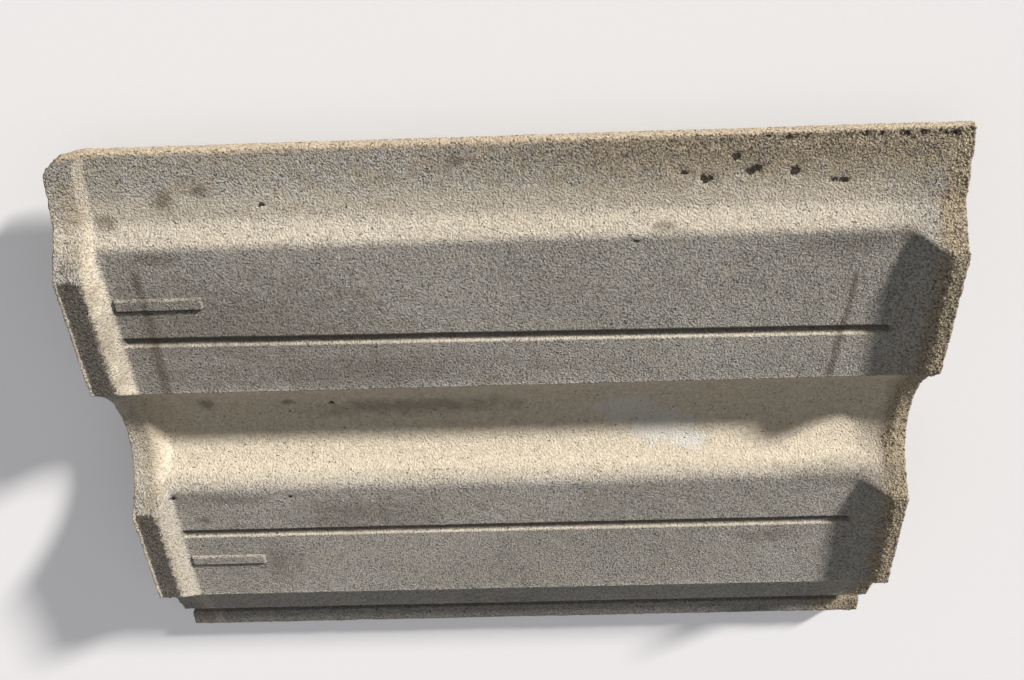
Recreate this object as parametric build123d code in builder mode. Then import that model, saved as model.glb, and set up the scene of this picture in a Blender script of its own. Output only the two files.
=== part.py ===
from build123d import *
import os
from math import atan2, cos, degrees, hypot, radians, sin, tan

# Interlocking concrete roof tile, one cast piece, in millimetres.
# It lies with its weather side down: +X runs from the head to the tail, the underlock edge is at +Y,
# and the underside with its nibs and panels faces up.

# Length, and the rims that stand proud of the underside at its head and tail
tile_length = 420.0
head_rim_length = 13.0
head_slope_run = 6.5
tail_rim_length = 7.0
tail_slope_run = 18.5
rim_stand = 11.0
rim_crown_stand = 10.0

# Widths across the tile, from the underlock edge to the overlock edge
channel_width = 28.5
water_bar_width = 2.5
underlock_flank_run = 16.5
pan_width = 72.3
roll_foot_width = 83.4
overlock_width = 57.5

# Heights above the weather face of the pans, and the thickness of the cast shell
shell_thickness = 13.2
roll_height = 23.2
roll_slope = 46.0
roll_foot_radius = 15.0
overlock_height = 21.0
overlock_slope = 42.0
overlock_crown_radius = 43.0
overlock_crown_inset = 17.6
water_bar_height = 13.7

# Underlock flange with its shallow water channels
flange_top = 7.3
flange_thickness = 6.8
channel_dip = 0.8
channel_dip_run = 7.6
channel_rib_rise = 0.9
channel_rib_inset = 8.2
channel_rib_width = 5.1

# Hollow under the roll, narrower and lower where it passes through the rims
haunch_width = 8.1
hollow_slope = 55.0
rim_arch_slope = 51.0
rim_arch_spread = 8.4

# Underside flanks beside the pans
nib_flank_run = 10.4
overlock_haunch = 4.2
flank_knee_run = 9.0
flank_knee_rise = 8.0
rim_knee_stand = 1.6

# Ribs and groove under the overlock, which close over the next tile's underlock
outer_rib_width = 12.5
outer_rib_level = 7.9
groove_width = 13.0
groove_roof = 11.2
groove_wall_run = 3.0
inner_rib_width = 5.5
inner_rib_level = -0.5
inner_rib_slope_drop = 1.3

# Rounded corners of the section
nib_corner_radius = 4.0
pan_corner_radius = 8.0
edge_radius = 2.8
small_radius = 0.8

# Groove along each panel, and a short raised bar beside it at the head
panel_groove_depth = 1.8
panel_groove_mouth = 5.8
panel_groove_floor = 1.4
groove_1_head_offset = 52.7
groove_1_tail_offset = 56.5
groove_2_offset = 33.9
bar_height = 1.4
bar_length = 40.0
bar_width = 6.6
bar_draft = 20.0
bar_gap = 3.2
bar_1_offset = 30.5
bar_2_offset = 54.9

# Places across the tile, measured from the underlock edge
pan_1_start = channel_width + water_bar_width + underlock_flank_run
roll_start = pan_1_start + pan_width
roll_centre = roll_start + roll_foot_width / 2
roll_end = roll_start + roll_foot_width
overlock_start = roll_end + pan_width
tile_width = overlock_start + overlock_width
underlock_slope = degrees(atan2(water_bar_height, underlock_flank_run))

# Panels on the underside, between the flanks and the hollow
panel_1_start = pan_1_start - shell_thickness * tan(radians(underlock_slope / 2))
panel_1_end = roll_start + haunch_width
panel_2_start = roll_end - haunch_width
panel_2_end = overlock_start + overlock_haunch
hollow_crown = roll_height - shell_thickness


def crown_radius(foot_width, slope, rise):
    """Radius of the arc that tops two slopes standing foot_width apart, so that it is rise high."""
    apex = foot_width / 2 * tan(radians(slope))
    return (apex - rise) / (1 / cos(radians(slope)) - 1)


roll_radius = crown_radius(roll_foot_width, roll_slope, roll_height)

# The overlock's crown arc leaves its flank and falls to the outer edge of the tile
overlock_crown = tile_width - overlock_crown_inset
crown_centre_height = overlock_height - overlock_crown_radius
edge_fall = degrees(atan2(overlock_crown_inset - edge_radius, overlock_crown_radius - edge_radius))
flank_touch = overlock_crown - overlock_crown_radius * sin(radians(overlock_slope))
flank_touch_height = crown_centre_height + overlock_crown_radius * cos(radians(overlock_slope))
flank_foot = flank_touch - flank_touch_height / tan(radians(overlock_slope))
edge_touch = overlock_crown + overlock_crown_radius * sin(radians(edge_fall))
edge_touch_height = crown_centre_height + overlock_crown_radius * cos(radians(edge_fall))
overlock_apex = (
    edge_touch_height + edge_touch * tan(radians(edge_fall)) + flank_foot * tan(radians(overlock_slope))
) / (tan(radians(overlock_slope)) + tan(radians(edge_fall)))
overlock_apex_height = (overlock_apex - flank_foot) * tan(radians(overlock_slope))
outer_edge_height = edge_touch_height - (tile_width - edge_touch) * tan(radians(edge_fall))


def weather_side():
    """Corners and radii of the weather side, from the underlock edge to the overlock edge."""
    rib_end = channel_width - channel_rib_inset
    rib_start = rib_end - channel_rib_width
    channel_floor = flange_top - channel_dip
    return [
        (0, flange_top, edge_radius),
        (channel_dip_run, channel_floor, small_radius),
        (rib_start - channel_rib_rise, channel_floor, small_radius),
        (rib_start + channel_rib_rise, flange_top + channel_rib_rise, small_radius),
        (rib_end, flange_top + channel_rib_rise, small_radius),
        (rib_end + 2 * channel_rib_rise, channel_floor, small_radius),
        (channel_width, channel_floor, small_radius),
        (channel_width, water_bar_height, small_radius),
        (channel_width + water_bar_width, water_bar_height, small_radius),
        (pan_1_start, 0, pan_corner_radius),
        (roll_start, 0, roll_foot_radius),
        (roll_centre, roll_foot_width / 2 * tan(radians(roll_slope)), roll_radius),
        (roll_end, 0, roll_foot_radius),
        (flank_foot, 0, pan_corner_radius),
        (overlock_apex, overlock_apex_height, overlock_crown_radius),
        (tile_width, outer_edge_height, edge_radius),
    ]


def underside(stand):
    """Corners and radii of the underside, from the overlock edge back to the underlock edge.

    stand is 0 between the rims and 1 on a rim.
    """
    level = -shell_thickness - rim_stand * stand
    flank_run = nib_flank_run * stand
    slope = hollow_slope + (rim_arch_slope - hollow_slope) * stand
    foot_width = roll_foot_width - 2 * haunch_width + 2 * rim_arch_spread * stand
    crown = hollow_crown - rim_crown_stand * stand
    foot_left = panel_1_end - rim_arch_spread * stand
    foot_right = panel_2_start + rim_arch_spread * stand
    knee_level = flank_knee_rise - shell_thickness - rim_knee_stand * stand
    rib_end = tile_width - outer_rib_width
    groove_start = rib_end - groove_width
    inner_rib_start = groove_start - inner_rib_width
    return [
        (tile_width, outer_rib_level, edge_radius),
        (rib_end, outer_rib_level, small_radius),
        (rib_end, groove_roof, small_radius),
        (groove_start + groove_wall_run, groove_roof, small_radius),
        (groove_start, inner_rib_level, small_radius),
        (inner_rib_start, inner_rib_level - inner_rib_slope_drop, small_radius),
        (panel_2_end + flank_knee_run, knee_level, pan_corner_radius),
        (panel_2_end - flank_run, level, nib_corner_radius),
        (foot_right, level, nib_corner_radius),
        (
            roll_centre,
            level + foot_width / 2 * tan(radians(slope)),
            crown_radius(foot_width, slope, crown - level),
        ),
        (foot_left, level, nib_corner_radius),
        (panel_1_start + flank_run, level, nib_corner_radius),
        (panel_1_start - flank_knee_run, knee_level, pan_corner_radius),
        (0, flange_top - flange_thickness, edge_radius),
    ]


# The tile comes to rest on the crown of the roll and the crown of the overlock
crown_span = overlock_crown - roll_centre
roll_radius_gap = roll_radius - overlock_crown_radius
height_gap = (roll_height - roll_radius) - crown_centre_height
centre_distance = hypot(crown_span, height_gap)
lean = atan2(height_gap, crown_span) + atan2(roll_radius_gap, centre_distance)
floor_height = (roll_height - roll_radius) * cos(lean) + roll_centre * sin(lean) + roll_radius


def lying(across, height):
    """Where a point of the section lies, as its distance along +Y and its height off the floor."""
    sideways = -(across * cos(lean) - height * sin(lean))
    upwards = floor_height - (height * cos(lean) + across * sin(lean))
    return sideways, upwards


# The outer edges of the underlock and of the overlock are equally far from the origin
edge_middle = (lying(0, flange_top)[0] + lying(tile_width, outer_rib_level)[0]) / 2
section_origin = lying(0, 0)


def section_plane(along):
    """Plane across the tile, at a distance from its head, with its Y axis towards the weather side."""
    return Plane(
        origin=(along - tile_length / 2, section_origin[0] - edge_middle, section_origin[1]),
        x_dir=(0, -cos(lean), -sin(lean)),
        z_dir=(1, 0, 0),
    )


def panel_plane(along, across):
    """Plane on a panel of the underside, facing up, with its X axis along the tile."""
    sideways, upwards = lying(across, -shell_thickness)
    return Plane(
        origin=(along - tile_length / 2, sideways - edge_middle, upwards),
        x_dir=(1, 0, 0),
        z_dir=(0, -sin(lean), cos(lean)),
    )


# Distances from the head at which the section changes, and how far it stands as a rim there
head_foot = head_rim_length + head_slope_run
tail_foot = tile_length - tail_rim_length - tail_slope_run
stations = [
    (0, 1),
    (head_rim_length, 1),
    (head_foot, 0),
    (tail_foot, 0),
    (tile_length - tail_rim_length, 1),
    (tile_length, 1),
]

# Where each groove crosses the tile, at the head and at the tail, and where each bar does
grooves = [
    (panel_1_start + groove_1_head_offset, panel_1_start + groove_1_tail_offset),
    (panel_2_start + groove_2_offset, panel_2_start + groove_2_offset),
]
bars = [panel_1_start + bar_1_offset, panel_2_start + bar_2_offset]

with BuildPart() as roof_tile:
    for along, stand in stations:
        corners = weather_side() + underside(stand)
        with BuildSketch(section_plane(along)):
            with BuildLine():
                FilletPolyline(
                    [(across, height) for across, height, radius in corners],
                    radius=[radius for across, height, radius in corners],
                    close=True,
                )
            make_face()
    loft(ruled=True)

    # Shallow grooves with slanted sides, from the foot of one slope to the foot of the other
    for head_across, tail_across in grooves:
        for along, across in ((head_foot, head_across), (tail_foot, tail_across)):
            with BuildSketch(section_plane(along)):
                with BuildLine():
                    Polyline(
                        (across - panel_groove_mouth / 2, -shell_thickness),
                        (across + panel_groove_mouth / 2, -shell_thickness),
                        (across + panel_groove_floor / 2, panel_groove_depth - shell_thickness),
                        (across - panel_groove_floor / 2, panel_groove_depth - shell_thickness),
                        close=True,
                    )
                make_face()
        loft(ruled=True, mode=Mode.SUBTRACT)

    # Raised bars, a short way clear of the head slope
    for across in bars:
        with BuildSketch(panel_plane(head_foot + bar_gap + bar_length / 2, across)):
            Rectangle(bar_length, bar_width)
        extrude(amount=bar_height, taper=bar_draft)

os.makedirs("parts", exist_ok=True)
roof_tile.part.label = "roof_tile"
export_step(roof_tile.part, "parts/roof_tile.step")
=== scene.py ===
"""Concrete roof tile, lying with its moulded underside up.

Its cast body, the grains of its broken ends and tail rim, and a plain studio.
"""
import logging
import math
from dataclasses import dataclass, fields
from enum import Enum
from typing import ClassVar, Sequence

import bpy
import numpy as np
from mathutils import Matrix, Vector


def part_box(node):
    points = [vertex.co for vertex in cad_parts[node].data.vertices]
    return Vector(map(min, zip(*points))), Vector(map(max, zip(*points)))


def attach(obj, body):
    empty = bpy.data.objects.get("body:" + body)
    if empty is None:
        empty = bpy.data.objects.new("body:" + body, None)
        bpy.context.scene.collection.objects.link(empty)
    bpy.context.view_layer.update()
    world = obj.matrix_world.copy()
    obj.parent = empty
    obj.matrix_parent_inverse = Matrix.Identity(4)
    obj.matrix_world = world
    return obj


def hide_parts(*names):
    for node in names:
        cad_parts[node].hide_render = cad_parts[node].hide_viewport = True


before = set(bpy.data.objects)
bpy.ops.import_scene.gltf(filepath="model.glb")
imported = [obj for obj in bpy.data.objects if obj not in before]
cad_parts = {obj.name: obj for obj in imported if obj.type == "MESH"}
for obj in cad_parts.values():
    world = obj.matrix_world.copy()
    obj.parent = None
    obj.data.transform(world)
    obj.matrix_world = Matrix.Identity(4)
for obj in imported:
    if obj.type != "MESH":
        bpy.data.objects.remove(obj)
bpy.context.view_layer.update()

log = logging.getLogger("roof_tile")

NODE = "roof_tile"
BODY = "root"
MM = 0.001
# Tones of the grains, as sRGB hex colours
GRAVEL_TONES = ("5a4e40", "7a6b57", "8d7c65", "9c8b72", "74695a", "b09c80")
SAND_TONES = ("857a6a", "978a76", "a59882", "7a7060")
Socket = bpy.types.NodeSocket
Material = bpy.types.Material
# Places that columns pass through and the steps between them, and the inputs of a tree by title
Stops = tuple[list[float], list[int]]
Inputs = dict[str, float | int | tuple[float, ...]]


class Skin(Enum):
    """The four kinds of surface of the tile's body."""

    UNDERSIDE = 0
    EDGE = 1
    CUT_END = 2
    WEATHER = 3


def spread(stops: Sequence[float], steps: Sequence[int]) -> np.ndarray:
    """Places that run through the stops.

    Args:
        stops: Places to pass through, in order.
        steps: Number of steps from each stop to the next.

    Returns:
        All the places, the first and the last stop among them.
    """
    parts = [np.linspace(a, b, n, endpoint=False) for a, b, n in zip(stops, stops[1:], steps)]
    return np.concatenate(parts + [np.array([stops[-1]])])


def ramp(value: np.ndarray, low: float, high: float) -> np.ndarray:
    """A smooth rise from 0 at low to 1 at high, which may be the lower of the two.

    Args:
        value: Numbers to place on the rise.
        low: Where the rise is 0.
        high: Where it is 1.

    Returns:
        One number from 0 to 1 for each value.
    """
    t = np.clip((value - low) / (high - low), 0.0, 1.0)
    return t * t * (3.0 - 2.0 * t)


def within(value: np.ndarray, start: float, end: float, soft: float) -> np.ndarray:
    """A plateau of 1 from start to end, with slopes that are soft wide and half way up at both.

    Args:
        value: Numbers to place on the plateau.
        start: Middle of the first slope.
        end: Middle of the last slope.
        soft: Width of each slope.

    Returns:
        One number from 0 to 1 for each value.
    """
    return np.clip(0.5 + np.minimum(value - start, end - value) / soft, 0.0, 1.0)


def fade(distance: np.ndarray, reach: float, power: float = 1.5) -> np.ndarray:
    """A curved fall from 1 at no distance to 0 at the reach.

    Args:
        distance: Distances from where the fall starts.
        reach: Distance at which it ends.
        power: How much steeper it is at its start.

    Returns:
        One number from 0 to 1 for each distance.
    """
    return np.clip(1.0 - distance / reach, 0.0, 1.0) ** power


@dataclass(frozen=True)
class Corner:
    """A rounded corner of the section, in millimetres."""

    across: float
    height: float
    radius: float


@dataclass(frozen=True)
class Mark:
    """A pit, stain or other patch: its middle and its half sizes along and across, in millimetres."""

    along: float
    across: float
    long: float
    wide: float

    def cone(self, along: np.ndarray, across: np.ndarray) -> np.ndarray:
        """How near each place is: 1 in the mark's middle, a half at its rim and 0 at twice its size."""
        reach = np.hypot((along - self.along) / self.long, (across - self.across) / self.wide)
        return np.clip(1.0 - reach / 2.0, 0.0, 1.0)


@dataclass(frozen=True)
class Streak:
    """A line across a panel: where it crosses, how much it leans and how wide it is, in millimetres."""

    along: float
    lean: float
    wide: float
    start: float
    end: float

    def cone(self, along: np.ndarray, across: np.ndarray) -> np.ndarray:
        """How near each place is to the line.

        Args:
            along: Distances from the head.
            across: Distances from the underlock edge.

        Returns:
            1 on the line, a half at its rim and 0 at twice its width.
        """
        middle = self.along + self.lean * (across - self.start)
        reach = np.abs(along - middle) / (self.wide / 2.0)
        return np.clip(1.0 - reach / 2.0, 0.0, 1.0) * within(across, self.start, self.end, 4.0)


class Outline:
    """A closed outline of straight runs and rounded corners."""

    def __init__(self, corners: Sequence[Corner]) -> None:
        """Keeps the corners, in order round the outline."""
        self.corners = list(corners)

    def _rounding(self, index: int) -> tuple[np.ndarray, np.ndarray, np.ndarray]:
        """Works out one corner's arc.

        Args:
            index: Number of the corner.

        Returns:
            The arc's centre, and the arms from it to the arc's two ends.
        """
        count = len(self.corners)
        before, here, after = (self.corners[(index + n) % count] for n in (-1, 0, 1))
        point = np.array([here.across, here.height])
        back = np.array([before.across, before.height]) - point
        ahead = np.array([after.across, after.height]) - point
        back /= np.linalg.norm(back)
        ahead /= np.linalg.norm(ahead)
        half = math.acos(float(np.clip(back @ ahead, -1.0, 1.0))) / 2.0
        middle = back + ahead
        centre = point + middle / np.linalg.norm(middle) * here.radius / math.sin(half)
        reach = here.radius / math.tan(half)
        return centre, point + back * reach - centre, point + ahead * reach - centre

    def arc(self, index: int, places: np.ndarray) -> np.ndarray:
        """Points on a corner's rounding.

        Args:
            index: Number of the corner.
            places: Where they lie, from 0 where the arc starts to 1 where it ends.

        Returns:
            One row of across and height for each place.
        """
        centre, start, end = self._rounding(index)
        cosine = start @ end / (np.linalg.norm(start) * np.linalg.norm(end))
        turn = math.acos(float(np.clip(cosine, -1.0, 1.0)))
        f = np.asarray(places)[:, None]
        return centre + (np.sin((1.0 - f) * turn) * start + np.sin(f * turn) * end) / math.sin(turn)

    def line(self, index: int, places: np.ndarray) -> np.ndarray:
        """Points on the straight run after a corner.

        Args:
            index: Number of the corner.
            places: Where they lie, from 0 to 1 along the run.

        Returns:
            One row of across and height for each place.
        """
        start = self.arc(index, np.array([1.0]))[0]
        end = self.arc((index + 1) % len(self.corners), np.array([0.0]))[0]
        return start + (end - start) * np.asarray(places)[:, None]


@dataclass(frozen=True)
class TileSection:
    """Sizes of the tile's section and rims, in millimetres.

    across runs from the underlock edge to the overlock edge, and height from the pans' weather face towards
    the weather side, so most of the underside lies at negative heights.
    """

    length: float
    head_rim: float = 13.0
    head_slope: float = 6.5
    tail_rim: float = 7.0
    tail_slope: float = 18.5
    rim_stand: float = 11.0
    rim_crown_stand: float = 10.0
    channel_width: float = 28.5
    water_bar_width: float = 2.5
    underlock_flank_run: float = 16.5
    pan_width: float = 72.3
    roll_foot_width: float = 83.4
    overlock_width: float = 57.5
    shell: float = 13.2
    roll_height: float = 23.2
    roll_slope: float = 46.0
    roll_foot_radius: float = 15.0
    overlock_height: float = 21.0
    overlock_slope: float = 42.0
    overlock_radius: float = 43.0
    overlock_inset: float = 17.6
    water_bar_height: float = 13.7
    flange_top: float = 7.3
    flange_thickness: float = 6.8
    channel_dip: float = 0.8
    channel_dip_run: float = 7.6
    channel_rib_rise: float = 0.9
    channel_rib_inset: float = 8.2
    channel_rib_width: float = 5.1
    haunch: float = 8.1
    hollow_slope: float = 55.0
    arch_slope: float = 51.0
    arch_spread: float = 8.4
    nib_flank_run: float = 10.4
    overlock_haunch: float = 4.2
    knee_run: float = 9.0
    knee_rise: float = 8.0
    rim_knee_stand: float = 1.6
    outer_rib_width: float = 12.5
    outer_rib_level: float = 7.9
    groove_width: float = 13.0
    groove_roof: float = 11.2
    groove_wall_run: float = 3.0
    inner_rib_width: float = 5.5
    inner_rib_level: float = -0.5
    inner_rib_drop: float = 1.3
    pan_radius: float = 8.0
    edge_radius: float = 2.8
    small_radius: float = 0.8
    # Roundings of this worn tile: a sharper lip and lower panel edges, and softer upper ones
    lip_radius: float = 1.7
    lip_foot_radius: float = 1.2
    crisp_radius: float = 1.5
    nib_radius: float = 4.0
    soft_radius: float = 7.0

    @property
    def pan_1_start(self) -> float:
        """Where the first pan leaves the underlock's flank."""
        return self.channel_width + self.water_bar_width + self.underlock_flank_run

    @property
    def roll_start(self) -> float:
        """Foot of the roll beside the first pan."""
        return self.pan_1_start + self.pan_width

    @property
    def roll_centre(self) -> float:
        """Middle of the roll."""
        return self.roll_start + self.roll_foot_width / 2.0

    @property
    def roll_end(self) -> float:
        """Foot of the roll beside the second pan."""
        return self.roll_start + self.roll_foot_width

    @property
    def overlock_start(self) -> float:
        """Where the second pan meets the overlock."""
        return self.roll_end + self.pan_width

    @property
    def width(self) -> float:
        """Width of the tile across its section."""
        return self.overlock_start + self.overlock_width

    @property
    def panels(self) -> tuple[tuple[float, float], tuple[float, float]]:
        """Where the recessed panels under the two pans start and end.

        Returns:
            Start and end of each panel, across the tile.
        """
        slope = math.atan2(self.water_bar_height, self.underlock_flank_run)
        first = self.pan_1_start - self.shell * math.tan(slope / 2.0)
        return (
            (first, self.roll_start + self.haunch),
            (self.roll_end - self.haunch, self.overlock_start + self.overlock_haunch),
        )

    @property
    def nibs(self) -> list[tuple[float, float]]:
        """Where the flat nibs start and end, on the head rim and on the tail rim.

        Returns:
            Start and end of each nib, across the tile.
        """
        (start_1, end_1), (start_2, end_2) = self.panels
        arch, flank = self.arch_spread, self.nib_flank_run
        return [(start_1 + flank, end_1 - arch), (start_2 + arch, end_2 - flank)]

    @property
    def head_foot(self) -> float:
        """Distance from the head at which the head slope reaches the panels."""
        return self.head_rim + self.head_slope

    @property
    def tail_edge(self) -> float:
        """Distance from the head at which the tail rim starts."""
        return self.length - self.tail_rim

    @property
    def tail_foot(self) -> float:
        """Distance from the head at which the tail slope leaves the panels."""
        return self.tail_edge - self.tail_slope

    @staticmethod
    def crown_radius(foot_width: float, slope: float, rise: float) -> float:
        """Radius of an arc that tops two slopes, in degrees, foot_width apart, so that it is rise high."""
        apex = foot_width / 2.0 * math.tan(math.radians(slope))
        return (apex - rise) / (1.0 / math.cos(math.radians(slope)) - 1.0)

    @property
    def roll_radius(self) -> float:
        """Radius of the roll's crown on the weather side."""
        return self.crown_radius(self.roll_foot_width, self.roll_slope, self.roll_height)

    def weather_corners(self) -> list[Corner]:
        """Corners of the weather side, from the underlock edge to the overlock edge.

        Returns:
            The corners in order.
        """
        rib_end = self.channel_width - self.channel_rib_inset
        rib_start = rib_end - self.channel_rib_width
        floor = self.flange_top - self.channel_dip
        rise = self.channel_rib_rise
        slope = math.tan(math.radians(self.overlock_slope))
        crown = self.width - self.overlock_inset
        centre = self.overlock_height - self.overlock_radius
        fall = math.atan2(self.overlock_inset - self.edge_radius, self.overlock_radius - self.edge_radius)
        touch = crown - self.overlock_radius * math.sin(math.radians(self.overlock_slope))
        touch_height = centre + self.overlock_radius * math.cos(math.radians(self.overlock_slope))
        foot = touch - touch_height / slope
        edge = crown + self.overlock_radius * math.sin(fall)
        edge_height = centre + self.overlock_radius * math.cos(fall)
        apex = (edge_height + edge * math.tan(fall) + foot * slope) / (slope + math.tan(fall))
        roll_apex = self.roll_foot_width / 2.0 * math.tan(math.radians(self.roll_slope))
        small = self.small_radius
        rows = [
            (0.0, self.flange_top, self.lip_foot_radius),
            (self.channel_dip_run, floor, small),
            (rib_start - rise, floor, small),
            (rib_start + rise, self.flange_top + rise, small),
            (rib_end, self.flange_top + rise, small),
            (rib_end + 2.0 * rise, floor, small),
            (self.channel_width, floor, small),
            (self.channel_width, self.water_bar_height, small),
            (self.channel_width + self.water_bar_width, self.water_bar_height, small),
            (self.pan_1_start, 0.0, self.pan_radius),
            (self.roll_start, 0.0, self.roll_foot_radius),
            (self.roll_centre, roll_apex, self.roll_radius),
            (self.roll_end, 0.0, self.roll_foot_radius),
            (foot, 0.0, self.pan_radius),
            (apex, (apex - foot) * slope, self.overlock_radius),
            (self.width, edge_height - (self.width - edge) * math.tan(fall), self.edge_radius),
        ]
        return [Corner(*row) for row in rows]

    def underside_corners(self, stand: float) -> list[Corner]:
        """Corners of the underside, from the underlock edge to the overlock edge.

        Args:
            stand: 0 between the rims and 1 on a rim.

        Returns:
            The corners in order.
        """
        (start_1, end_1), (start_2, end_2) = self.panels
        level = -self.shell - self.rim_stand * stand
        flank, arch = self.nib_flank_run * stand, self.arch_spread * stand
        slope = self.hollow_slope + (self.arch_slope - self.hollow_slope) * stand
        foot_width = self.roll_foot_width - 2.0 * self.haunch + 2.0 * arch
        crown = self.roll_height - self.shell - self.rim_crown_stand * stand
        apex = level + foot_width / 2.0 * math.tan(math.radians(slope))
        knee = self.knee_rise - self.shell - self.rim_knee_stand * stand
        soft = self.soft_radius + (self.nib_radius - self.soft_radius) * stand
        rib_end = self.width - self.outer_rib_width
        groove = rib_end - self.groove_width
        rows = [
            (0.0, self.flange_top - self.flange_thickness, self.lip_radius),
            (start_1 - self.knee_run, knee, self.pan_radius),
            (start_1 + flank, level, soft),
            (end_1 - arch, level, self.crisp_radius),
            (self.roll_centre, apex, self.crown_radius(foot_width, slope, crown - level)),
            (start_2 + arch, level, soft),
            (end_2 - flank, level, self.crisp_radius),
            (end_2 + self.knee_run, knee, self.pan_radius),
            (groove - self.inner_rib_width, self.inner_rib_level - self.inner_rib_drop, self.small_radius),
            (groove, self.inner_rib_level, self.small_radius),
            (groove + self.groove_wall_run, self.groove_roof, self.small_radius),
            (rib_end, self.groove_roof, self.small_radius),
            (rib_end, self.outer_rib_level, self.small_radius),
            (self.width, self.outer_rib_level, self.edge_radius),
        ]
        return [Corner(*row) for row in rows]

    def outline(self, stand: float) -> Outline:
        """The whole section as one outline that starts with the underside; stand is 1 on a rim."""
        return Outline(self.underside_corners(stand) + self.weather_corners()[::-1])

    @property
    def lean(self) -> float:
        """Angle of the section when the tile rests on the crowns of the roll and of the overlock.

        Returns:
            The angle in radians.
        """
        span = self.width - self.overlock_inset - self.roll_centre
        drop = (self.roll_height - self.roll_radius) - (self.overlock_height - self.overlock_radius)
        gap = self.roll_radius - self.overlock_radius
        return math.atan2(drop, span) + math.atan2(gap, math.hypot(span, drop))

    def lay(self, points: np.ndarray) -> np.ndarray:
        """Places of the section's points in the shared frame.

        Args:
            points: One row of along, across and height for each point, in millimetres.

        Returns:
            One row of x, y and z for each point, in metres.
        """
        along, across, height = points.T
        cos, sin = math.cos(self.lean), math.sin(self.lean)
        crown = self.roll_height - self.roll_radius
        floor = crown * cos + self.roll_centre * sin + self.roll_radius
        middle = (self.flange_top * sin - self.width * cos + self.outer_rib_level * sin) / 2.0
        y = -(across * cos - height * sin) - middle
        z = floor - (height * cos + across * sin)
        return np.stack([along - self.length / 2.0, y, z], axis=-1) * MM


@dataclass(frozen=True)
class PanelRelief:
    """The groove along each panel and the raised bar beside it, in millimetres."""

    groove_mouths: tuple[float, float] = (5.8, 6.0)
    # Where each groove's floor starts and ends beside its middle: the lower wall is the steep one
    groove_floors: tuple[tuple[float, float], tuple[float, float]] = ((-0.6, 2.0), (-0.6, 2.3))
    groove_depth: float = 2.0
    groove_end: float = 1.2
    groove_1_head: float = 52.7
    groove_1_tail: float = 56.5
    groove_2: float = 33.9
    bar_width: float = 6.6
    bar_length: float = 42.2
    bar_height: float = 1.4
    bar_gap: float = 1.5
    bar_bevel: float = 0.6
    bar_1: float = 30.5
    bar_2: float = 54.9
    # Width of the narrow faces that keep an edge crisp
    margin: float = 0.4
    # Thin burr along each panel's lower edge, and how far from the edge it ends and is full
    burr_height: float = 0.25
    burr_end: float = 1.1
    burr_full: float = 0.2

    def bar_run(self, head_foot: float) -> tuple[float, float]:
        """Distances from the head at which the bars start and end, on panels that start at head_foot."""
        return head_foot + self.bar_gap, head_foot + self.bar_gap + self.bar_length

    def bar_stops(self, middle: float) -> Stops:
        """Places across a bar that the columns pass through, and the steps between them.

        Args:
            middle: Where the middle of the bar lies.

        Returns:
            Eight places, of which the third to the sixth lie on the bar's top, and the steps.
        """
        half, bevel, margin = self.bar_width / 2.0, self.bar_bevel, self.margin
        right = [half - bevel - margin, half - bevel, half, half + margin]
        return [middle - r for r in right[::-1]] + [middle + r for r in right], [1, 1, 1, 3, 1, 1, 1]

    def groove_stops(self, number: int, middle: float) -> Stops:
        """Places across a groove that the columns pass through, and the steps between them.

        Args:
            number: 0 for the first panel's groove and 1 for the second's.
            middle: Where the middle of the groove lies.

        Returns:
            Six places, of which the third and the fourth are the floor's sides, and the steps.
        """
        start, end = self.groove_floors[number]
        half = self.groove_mouths[number] / 2.0
        places = [-half - self.margin, -half, start, end, half, half + self.margin]
        return [middle + place for place in places], [1, 2, 1, 2, 1]


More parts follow.
